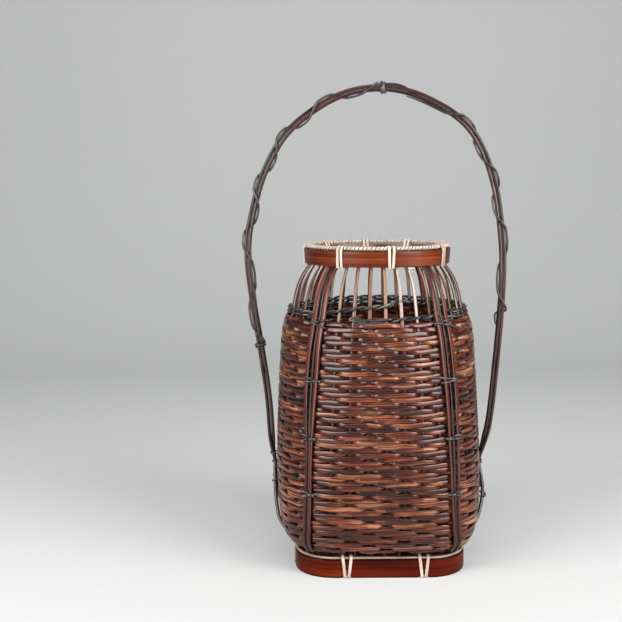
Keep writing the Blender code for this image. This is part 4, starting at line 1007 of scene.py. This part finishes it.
core_line = [binding_middle(360 * step / RIM_STEPS) for step in range(RIM_STEPS)]
core = strands("rim_core_cane", [path(core_line, (0, 0, 1), closed=True)], 2 * RIM_CORE_RADIUS,
               2 * RIM_CORE_RADIUS, dark_lath)
give(core, "basket", "light_cane", "rim_core")
count = BINDING_TURNS * BINDING_STEPS
binding_line = []
curls = []
for index in range(count):
    azimuth = 360 * index / count
    angle = 2 * math.pi * index / BINDING_STEPS
    curls.append(outward(azimuth) * math.cos(angle) + np.array([0, 0, math.sin(angle)]))
    binding_line.append(binding_middle(azimuth) + curls[-1] * BINDING_CURL)
binding = strands("rim_wrapping", [path(binding_line, curls, closed=True, tone=0.75)], BINDING_STRIP_WIDTH,
                  BINDING_STRIP_THICKNESS, cream_cane, sides=6, squareness=0.8)
give(binding, "basket", "light_cane", "rim_binding")

# Rim ties. Eight pairs of light cane strips pass over the binding and round both hoops. Two
# loose tails hang just under the outer hoop at the front.
RIM_TIE_WIDTH = 0.0022
RIM_TIE_THICKNESS = 0.0007
RIM_TIE_SPACING = 0.0033
RIM_TIE_SINK = 0.0004
RIM_TIE_AZIMUTHS = (-83.0, -32.5, 7.2, 57.0, 107.0, 148.0, 187.0, 228.0)
RIM_TIE_TAILS = ((21.5, 0.4), (26.0, -0.5))
TAIL_STEPS = (0.0, 1.0, 2.0, 2.6)
TAIL_DROP = 0.0011
TAIL_LIFT = 0.0012

half = RIM_TIE_THICKNESS / 2
tie_outside = RIM_REACH + CLEARANCE + half
tie_inside = RIM_LINE_REACH + INNER_BAND_INSIDE - half
tie_low = RIM_BAND_BOTTOM - CLEARANCE - half
tie_high = BINDING_TOP + CLEARANCE + half - RIM_TIE_SINK
rim_loop = round_corners([(tie_inside - RIM_LEAN, tie_low), (tie_outside - RIM_LEAN, tie_low),
                          (tie_outside, RIM_BAND_TOP + CLEARANCE),
                          (BINDING_REACH + BINDING_CURL + half, tie_high),
                          (BINDING_REACH - BINDING_CURL - half, tie_high),
                          (tie_inside, RIM_BAND_TOP + CLEARANCE)])
luck = np.random.default_rng(51)
rim_tie_paths = []
for azimuth in RIM_TIE_AZIMUTHS:
    for hand in (-1, 1):
        lean = luck.uniform(-2.5, 2.5)
        rim_tie_paths.append(strap_path(rim_loop, azimuth, hand * RIM_TIE_SPACING / 2, lean,
                                        RIM_MIDDLE_HEIGHT, tone=luck.uniform(0.6, 1.0),
                                        seed=luck.uniform(0, 50)))
for azimuth, lean in RIM_TIE_TAILS:
    tail = [body_point(azimuth + lean * step, RIM_BAND_BOTTOM - CLEARANCE - TAIL_DROP * step,
                       STAKE_FACE + TAIL_LIFT) for step in TAIL_STEPS]
    rim_tie_paths.append(path(tail, outward(azimuth), girth=1.1, tone=0.9, seed=azimuth))
rim_ties = strands("rim_ties", rim_tie_paths, RIM_TIE_WIDTH, RIM_TIE_THICKNESS, cream_cane,
                   sides=10, squareness=0.6)
give(rim_ties, "basket", "light_cane", "rim_inner_band")

# Handle. Two whole dark canes, one over the other along the arch, that turn side by side above
# the body and spread down its sides, the right leg bowed off it a little. Their shaved ends go
# into the weave just over the foot, which holds them.
HANDLE_TOP = 0.3947
HANDLE_REACH = 0.1080
HANDLE_CANE_RADIUS = 0.0014
HANDLE_CANE_WIDTH = 0.00305
HANDLE_SEAT = 0.079
HANDLE_TWIST_TOP = 0.112
HANDLE_LEG_BOTTOM = 0.0275
HANDLE_LEG_SPREAD = 0.030
HANDLE_SPAN_STEPS = 12
HANDLE_LEFT_SHARES = ((0.12, 0.056), (0.25, 0.18), (0.54, 0.32), (0.82, 0.44), (1.0, 0.574))
HANDLE_ARCH_SHARES = ((-0.957, 0.678), (-0.853, 0.792), (-0.658, 0.896), (-0.298, 0.979), (0.06, 1.0),
                      (0.395, 0.969), (0.71, 0.893), (0.892, 0.762))
HANDLE_RIGHT_SHARES = ((0.84, 0.594), (0.86, 0.463), (0.70, 0.30), (0.46, 0.13), (0.28, 0.065))
HANDLE_PAIR_OFFSET = HANDLE_CANE_RADIUS + CLEARANCE / 2
HANDLE_LINE_TOP = HANDLE_TOP - HANDLE_PAIR_OFFSET - HANDLE_CANE_RADIUS
LEG_END_HEIGHT = 0.0235
LEG_TUCK_HEIGHT = 0.0400
LEG_SHAVE_HEIGHT = 0.0360
LEG_STEPS = 22
LEG_BEND_SHARE = 0.35
LEG_BOW_HEIGHT = 0.0560
LEG_BOWS = {-1: 0.0006, 1: 0.0050}
INNER_BOW_SHARE = 0.6
LEG_OFFSET = WEAVE_OUTSIDE + CLEARANCE + HANDLE_CANE_RADIUS
CANE_JOINTS = {"outer": (0.07, 0.19, 0.33, 0.46, 0.60, 0.71, 0.86),
               "inner": (0.12, 0.26, 0.41, 0.55, 0.66, 0.80, 0.92)}
HANDLE_SHADES = ((0.0, 0.004, 0.0015, 0.0015), (0.4, 0.013, 0.0036, 0.003), (0.7, 0.048, 0.012, 0.008),
                 (1.0, 0.20, 0.10, 0.075))

handle_cane = cane_finish("handle_cane", HANDLE_SHADES, fibre=(10, 1500), patch=14, spread=(0.5, 0.45, 0.4),
                          roughness=(0.2, 0.4), coat=0.55, coat_roughness=0.10)
seat_reach = abs(body_point(90, HANDLE_SEAT, LEG_OFFSET)[0])
handle_points = [(-seat_reach, 0, HANDLE_SEAT)]
for side, shares in ((-1, HANDLE_LEFT_SHARES), (0, HANDLE_ARCH_SHARES), (1, HANDLE_RIGHT_SHARES)):
    for reach, height in shares:
        across = side * mix(seat_reach, HANDLE_REACH, reach) if side else HANDLE_REACH * reach
        handle_points.append((across, 0, mix(HANDLE_SEAT, HANDLE_LINE_TOP, height)))
handle_points.append((seat_reach, 0, HANDLE_SEAT))
handle_line = smooth_line(handle_points, HANDLE_SPAN_STEPS)
handle_forward = unit(np.gradient(handle_line, axis=0))
handle_normal = np.column_stack([-handle_forward[:, 2], np.zeros(len(handle_line)), handle_forward[:, 0]])
twist_span = HANDLE_TWIST_TOP - HANDLE_SEAT
handle_turn = np.array([math.radians(90 * ease((HANDLE_TWIST_TOP - height) / twist_span))
                        for height in handle_line[:, 2]])[:, None]
handle_stack = handle_normal * np.cos(handle_turn) + np.array([0, -1.0, 0]) * np.sin(handle_turn)


def leg_apart(height):
    """How far a cane of a leg lies from the leg's middle at a height."""
    share = (HANDLE_SEAT - height) / (HANDLE_SEAT - HANDLE_LEG_BOTTOM)
    return mix(HANDLE_PAIR_OFFSET, HANDLE_LEG_SPREAD, share * mix(1, share, LEG_BEND_SHARE))


def leg_bow(side, toward, height):
    """How far a cane of a leg stands off the weave at a height."""
    nearness = ease(1 - abs(height - LEG_BOW_HEIGHT) / (HANDLE_SEAT - LEG_BOW_HEIGHT))
    return LEG_BOWS[side] * (1 if toward * side > 0 else INNER_BOW_SHARE) * nearness


def leg_line(side, toward):
    """One leg of one cane on the side of the body, from just under the seat to its end."""
    line = []
    for height in np.linspace(HANDLE_SEAT, LEG_END_HEIGHT, LEG_STEPS)[1:]:
        tuck = ease((LEG_TUCK_HEIGHT - height) / (LEG_TUCK_HEIGHT - LEG_END_HEIGHT))
        offset = mix(LEG_OFFSET + leg_bow(side, toward, height), STAKE_FACE + HANDLE_CANE_RADIUS, tuck)
        azimuth = side * (90 + toward * arc_angle(leg_apart(height), 90, height))
        line.append(body_point(azimuth, height, offset))
    return line


for hand, (cane_name, joints) in zip((1, -1), CANE_JOINTS.items()):
    arch = handle_line + handle_stack * (hand * HANDLE_PAIR_OFFSET)
    line = np.concatenate([leg_line(-1, -hand)[::-1], arch, leg_line(1, -hand)])
    share = np.linspace(0, 1, len(line))
    shaved = np.interp(line[:, 2], (LEG_END_HEIGHT, LEG_SHAVE_HEIGHT), (STRAND_END, 1.0))
    girth = (0.98 + 0.015 * np.sin(share * 40 + hand)) * shaved
    tone = 0.55 + 0.2 * np.sin(share * 23 + 2 * hand)
    for joint in joints:
        girth = girth + 0.10 * np.exp(-((share - joint) / 0.004) ** 2)
        pale, dark = [np.exp(-((share - joint - shift) / width) ** 2)
                      for shift, width in ((0.004, 0.003), (-0.003, 0.002))]
        tone = tone + 0.35 * pale - 0.4 * dark
    item = path(line, np.array([0, -1.0, 0]), girth=girth, tone=np.clip(tone, 0, 1), seed=5.0 + hand)
    cane = strands(f"handle_{cane_name}_cane_whole", [item], HANDLE_CANE_WIDTH, HANDLE_CANE_WIDTH,
                   handle_cane, sides=12)
    give(cane, "basket", "handle_cane", f"handle_{cane_name}_cane")

# Handle vine. Lengths of thin dark vine wound loosely up both sides of the handle, crossing
# over the canes and bowing off them, with a crossed knot at the top of the arch.
HANDLE_VINE_RADIUS = 0.00095
LEFT_CROSSINGS = ((-0.1041, 0.1885), (-0.1047, 0.2542), (-0.0995, 0.3010), (-0.0822, 0.3420),
                  (-0.0519, 0.3715), (-0.0052, 0.3890))
RIGHT_CROSSINGS = ((0.0651, 0.3718), (0.0897, 0.3292), (0.1010, 0.2820), (0.1030, 0.2160))
VINE_LOW_LEFT = (-0.0985, 0.1790)
VINE_LOW_RIGHT = (0.1045, 0.1960)
CROSSING_HALF = 0.0062
OPEN_TURN = ((0.20, 0.01, 0.0004), (0.36, -0.08, 0.0002), (0.48, -0.25, 0.0), (0.60, -0.42, 0.0002),
             (0.82, -0.50, 0.0005))
KNOT_SHARE = 0.505
KNOT_HALF = 0.0024
KNOT_TURNS = ((-KNOT_HALF, 0.46, 0.0), (0.0014, 0.0, 0.0002), (0.0022, -0.5, 0.0002), (-0.0012, -1.0, 0.0010),
              (-0.0004, -1.5, 0.0004), (0.0010, -1.9, 0.0002))
LOW_TURNS = ((-0.0020, 0.2, 0.0), (0.0002, -0.9, 0.0002), (0.0024, -1.7, 0.0))
KNOT_TAIL = ((0.0006, 0.12, 0.0), (0.010, 0.05, 0.0), (0.019, 0.14, 0.0))

handle_steps = np.linalg.norm(np.diff(handle_line, axis=0), axis=1)
handle_lengths = np.concatenate([[0], np.cumsum(handle_steps)])


def along_handle(values, length):
    return np.array([np.interp(length, handle_lengths, values[:, axis]) for axis in range(3)])


def handle_length(place):
    """Length along the handle's middle line of the point nearest to a place seen from the front."""
    return handle_lengths[np.argmin(np.hypot(handle_line[:, 0] - place[0], handle_line[:, 2] - place[1]))]


def wound_vine(turns, tone, seed, start=0.0):
    """A vine wound round both canes: its turns are lengths along the handle from the start, angles
    in turns, and how far the vine bows off the canes."""
    turns = np.asarray(turns, float) + np.array([start, 0, 0])
    count = int(abs(turns[-1, 1] - turns[0, 1]) * 18 + abs(turns[-1, 0] - turns[0, 0]) / 0.004)
    share = np.linspace(0, 1, max(count, 12))
    known = np.linspace(0, 1, len(turns))
    lengths, angles, bows = (np.interp(share, known, turns[:, column]) for column in range(3))
    long_half = HANDLE_PAIR_OFFSET + HANDLE_CANE_RADIUS + HANDLE_VINE_RADIUS + 0.0001
    short_half = HANDLE_CANE_RADIUS + HANDLE_VINE_RADIUS + 0.0004
    middle = np.array([along_handle(handle_line, length) for length in lengths])
    line = []
    for point, length, angle, bow in zip(middle, lengths, 2 * math.pi * angles, bows):
        stack = unit(along_handle(handle_stack, length))
        across = np.cross(unit(along_handle(handle_forward, length)), stack)
        lifted = point + stack * math.cos(angle) * (long_half + bow)
        line.append(lifted + across * math.sin(angle) * short_half)
    soft = np.array(line)
    soft[1:-1] = (soft[:-2] + 2 * soft[1:-1] + soft[2:]) / 4
    return path(soft, soft - middle, girth=tied_end(soft), tone=tone, seed=seed)


def vine_turns(crossings, start, end):
    """A winding that crosses the front at each of the given lengths, from the inside to the outside,
    lies along the outer cane, and comes back inside behind the canes."""
    turns = [(start, 0.46, 0.0)]
    for index, (here, following) in enumerate(zip(crossings, [*crossings[1:], end])):
        gap = following - here - 2 * CROSSING_HALF
        turns += [(here - CROSSING_HALF, 0.42 - index, 0.0001), (here, 0.25 - index, 0.0),
                  (here + CROSSING_HALF, 0.07 - index, 0.0004)]
        if gap > 0.008:
            turns += [(here + CROSSING_HALF + gap * share, angle - index, bow)
                      for share, angle, bow in OPEN_TURN]
    turns.append((end, turns[-1][1] - 0.08, 0.0))
    return turns


left_lengths = [handle_length(place) for place in LEFT_CROSSINGS]
right_lengths = [handle_length(place) for place in RIGHT_CROSSINGS]
low_left, low_right = handle_length(VINE_LOW_LEFT), handle_length(VINE_LOW_RIGHT)
knot = handle_lengths[-1] * KNOT_SHARE
vine_piece("handle_left_winding", [wound_vine(vine_turns(left_lengths, low_left, knot - 0.0006), 0.7, 12.0),
                                   wound_vine(KNOT_TURNS, 0.98, 31.0, knot),
                                   wound_vine(LOW_TURNS, 0.7, 44.0, low_left)],
           HANDLE_VINE_RADIUS, "handle_left_vine")
right_turns = vine_turns(right_lengths, knot + KNOT_HALF + 0.018, low_right)
vine_piece("handle_right_winding", [wound_vine(right_turns, 0.7, 57.0),
                                    wound_vine(KNOT_TAIL, 0.9, 63.0, knot)],
           HANDLE_VINE_RADIUS, "handle_right_vine")

# Leg ties. Thin vine holds the handle's canes down where they reach the body, both together,
# and each by itself lower down.
HANDLE_TIE_RADIUS = 0.0008
LEG_TIES = {-1: ((0.0860, 0.0, True), (0.0785, 0.0006, True), (0.0640, 0.0010, False)),
            1: ((0.0785, 0.0008, True), (0.0765, -0.0006, True), (0.0530, 0.0012, False))}
LEG_TIE_SINK = 0.0004


def free_offset(height):
    """How far the handle's middle line stands off the stakes' line just above the seat."""
    near = np.array([point for point in handle_line if point[0] < 0 and point[2] < 0.15])
    return float(np.interp(height, near[:, 2], -near[:, 0])) - abs(body_point(-90, height, 0.0)[0])


def leg_tie_turns(side, height, slant, both):
    """A turn of vine over both canes of a leg, or one over each cane."""
    half = (HANDLE_PAIR_OFFSET if both else 0.0) + HANDLE_CANE_RADIUS + HANDLE_TIE_RADIUS
    low = WEAVE_OUTSIDE - LEG_TIE_SINK
    turns = []
    for toward in (0,) if both else (-1, 1):
        cane = free_offset(height) if height > HANDLE_SEAT else LEG_OFFSET + leg_bow(side, toward, height)
        over = cane + HANDLE_CANE_RADIUS + HANDLE_TIE_RADIUS
        right_half = [(half * 0.6, over - 0.0002), (half, cane), (half + 0.0002, low)]
        line = []
        for arc, offset in [(-arc, offset) for arc, offset in right_half[::-1]] + [(0, over)] + right_half:
            level = height + slant * arc / half
            apart = 0.0 if both else arc_angle(leg_apart(height), 90, level)
            line.append(body_point(side * (90 + toward * apart) + arc_angle(arc, 90, level), level, offset))
        line = smooth_line(line, 4)
        turns.append(path(line, outward(side * 90), girth=tied_end(line), tone=0.85,
                          seed=height * 1000 + toward))
    return turns


for side_name, side in (("left", -1), ("right", 1)):
    turns = [turn for tie in LEG_TIES[side] for turn in leg_tie_turns(side, *tie)]
    vine_piece(f"{side_name}_leg_tie", turns, HANDLE_TIE_RADIUS, f"{side_name}_handle_tie")

# Water tube. A length of smoked bamboo cut just below a joint, which closes its bottom. It is
# matt black with fine upright fibres, and grey where the saw cut the rim.
TUBE_RADIUS = 0.031
TUBE_HEIGHT = 0.180
TUBE_WALL = 0.003
TUBE_FLOOR = 0.007
TUBE_RIM_ROUND = 0.0006
TUBE_STEPS = 96
TUBE_BOTTOM = FLOOR_BOTTOM + FLOOR_THICKNESS + CLEARANCE
SMOKED_SHADES = ((0.38, 0.006, 0.006, 0.007), (0.66, 0.045, 0.043, 0.042))


def mesh_object(name, points, faces):
    mesh = bpy.data.meshes.new(name)
    mesh.from_pydata(points, [], faces)
    mesh.shade_smooth()
    return mesh


inner = TUBE_RADIUS - TUBE_WALL
bend = TUBE_RIM_ROUND * 0.3
rim_start = TUBE_HEIGHT - TUBE_RIM_ROUND
tube_profile = [(inner * 0.5, TUBE_FLOOR), (inner - TUBE_WALL, TUBE_FLOOR),
                (inner - 0.0008, TUBE_FLOOR + 0.0010), (inner, TUBE_FLOOR + TUBE_WALL)]
tube_profile += [(inner, height) for height in np.linspace(TUBE_FLOOR + TUBE_WALL, rim_start, 24)[1:]]
tube_profile += [(inner + bend, TUBE_HEIGHT - bend), (inner + TUBE_RIM_ROUND, TUBE_HEIGHT),
                 (TUBE_RADIUS - TUBE_RIM_ROUND, TUBE_HEIGHT), (TUBE_RADIUS - bend, TUBE_HEIGHT - bend)]
tube_profile += [(TUBE_RADIUS, height) for height in np.linspace(rim_start, TUBE_RIM_ROUND, 30)]
tube_profile += [(TUBE_RADIUS - TUBE_RIM_ROUND, 0), (TUBE_RADIUS * 0.5, 0)]
points = [(0, 0, TUBE_FLOOR + TUBE_BOTTOM)]
for reach, height in tube_profile:
    for step in range(TUBE_STEPS):
        angle = 2 * math.pi * step / TUBE_STEPS
        points.append((reach * math.cos(angle), reach * math.sin(angle), height + TUBE_BOTTOM))
points.append((0, 0, TUBE_BOTTOM))
last = len(points) - 1
faces = []
for low in range(1, last - TUBE_STEPS, TUBE_STEPS):
    for step in range(TUBE_STEPS):
        following = (step + 1) % TUBE_STEPS
        faces.append((low + following, low + step, low + TUBE_STEPS + step, low + TUBE_STEPS + following))
for step in range(TUBE_STEPS):
    following = (step + 1) % TUBE_STEPS
    faces.append((0, 1 + step, 1 + following))
    faces.append((last, last - TUBE_STEPS + following, last - TUBE_STEPS + step))
tube_mesh = mesh_object("tube", points, faces)
tube_mesh.set_sharp_from_angle(angle=math.radians(35))

smoked, tree, shader = new_material("smoked_bamboo")
here = add_node(tree, "ShaderNodeTexCoord").outputs["Object"]
fibres = noise(tree, {"Vector": stretch(tree, here, (900, 900, 14)), "Scale": 1.0, "Detail": 4.0})
cloud = noise(tree, {"Vector": here, "Scale": 60.0, "Detail": 4.0})
level = calc(tree, "ADD", calc(tree, "MULTIPLY", fibres, 0.6), calc(tree, "MULTIPLY", cloud, 0.4))
tube_top = TUBE_BOTTOM + TUBE_HEIGHT
cut = remap(tree, axes(tree, here)[2], (tube_top - 0.0005, tube_top - 0.0001))
cut_colour = blend(tree, fibres, (0.07, 0.068, 0.065, 1), (0.30, 0.29, 0.28, 1))
set_inputs(tree, shader, {
    "Base Color": blend(tree, cut, colour_ramp(tree, level, SMOKED_SHADES), cut_colour),
    "Roughness": remap(tree, cloud, (0.0, 1.0), (0.5, 0.8)),
    "Normal": add_node(tree, "ShaderNodeBump", {"Height": level, "Distance": 0.0002}).outputs[0]})
tube_mesh.materials.append(smoked)
give(show("bamboo_tube", tube_mesh), "water_tube", "smoked_bamboo", "water_tube")

# Studio. A pale sweep of paper for floor and backdrop that glows a little for the camera alone,
# a broad soft lamp at each side that lights the flanks and leaves the front deeper, a weaker one
# over the front, and the camera.
SWEEP_HALF_WIDTH = 2.6
SWEEP_FRONT = -1.6
SWEEP_BEND_START = 0.9
SWEEP_BEND_RADIUS = 0.7
SWEEP_BEND_STEPS = 12
SWEEP_TOP = 3.0
PAPER_GLOW = 0.17
LAMP_AIM = (0, 0, 0.15)
LAMPS = (("left_strip", (-0.86, -0.72, 0.56), 0.72, 0.95, 17.5),
         ("right_strip", (0.84, -0.70, 0.56), 0.72, 0.95, 19.0),
         ("front_lamp", (0.0, -0.7, 1.3), 0.80, 0.50, 5.0))
CAMERA_PLACE = (-0.0555, -0.8788, 0.3114)
CAMERA_PITCH = math.radians(6.75)
CAMERA_ROLL = -0.0063
CAMERA_LENS = 60.77

sweep_line = [(SWEEP_FRONT, 0.0), (SWEEP_BEND_START, 0.0)]
for step in range(1, SWEEP_BEND_STEPS + 1):
    angle = math.radians(90 * step / SWEEP_BEND_STEPS)
    sweep_line.append((SWEEP_BEND_START + SWEEP_BEND_RADIUS * math.sin(angle),
                       SWEEP_BEND_RADIUS - SWEEP_BEND_RADIUS * math.cos(angle)))
sweep_line.append((SWEEP_BEND_START + SWEEP_BEND_RADIUS, SWEEP_TOP))
points = [(x, y, z) for y, z in sweep_line for x in (-SWEEP_HALF_WIDTH, SWEEP_HALF_WIDTH)]
faces = [(2 * index, 2 * index + 1, 2 * index + 3, 2 * index + 2) for index in range(len(sweep_line) - 1)]
sweep_mesh = mesh_object("paper_sweep", points, faces)
paper, tree, shader = new_material("pale_paper")
tint = blend(tree, noise(tree, {"Scale": 900.0}), (0.50, 0.50, 0.49, 1), (0.54, 0.54, 0.53, 1))
seen = add_node(tree, "ShaderNodeLightPath").outputs["Is Camera Ray"]
set_inputs(tree, shader, {"Base Color": tint, "Roughness": 0.9, "Emission Color": (0.95, 0.97, 1.0, 1),
                          "Emission Strength": calc(tree, "MULTIPLY", seen, PAPER_GLOW)})
sweep_mesh.materials.append(paper)
show("paper_sweep", sweep_mesh)

world = bpy.data.worlds.new("studio")
bpy.context.scene.world = world
world.use_nodes = True
background = world.node_tree.nodes["Background"]
set_inputs(world.node_tree, background, {"Color": (0.93, 0.95, 1.0, 1), "Strength": 0.13})
for name, place, width, height, power in LAMPS:
    lamp = bpy.data.lights.new(name, "AREA")
    lamp.shape = "RECTANGLE"
    lamp.size = width
    lamp.size_y = height
    lamp.energy = power
    holder = show(name, lamp)
    holder.location = place
    holder.rotation_euler = (Vector(LAMP_AIM) - Vector(place)).to_track_quat("-Z", "Y").to_euler()

view = bpy.data.cameras.new("view")
view.sensor_width = 36.0
view.lens = CAMERA_LENS
camera = show("view", view)
camera.location = CAMERA_PLACE
camera.rotation_mode = "XYZ"
forward = Vector((0, math.cos(CAMERA_PITCH), -math.sin(CAMERA_PITCH)))
right = Vector((1, 0, 0))
up = right.cross(forward)
turned_right = right * math.cos(CAMERA_ROLL) + up * math.sin(CAMERA_ROLL)
turned_up = up * math.cos(CAMERA_ROLL) - right * math.sin(CAMERA_ROLL)
camera.rotation_euler = Matrix((turned_right, turned_up, -forward)).transposed().to_euler()
bpy.context.scene.camera = camera
bpy.context.scene.view_settings.view_transform = "Standard"
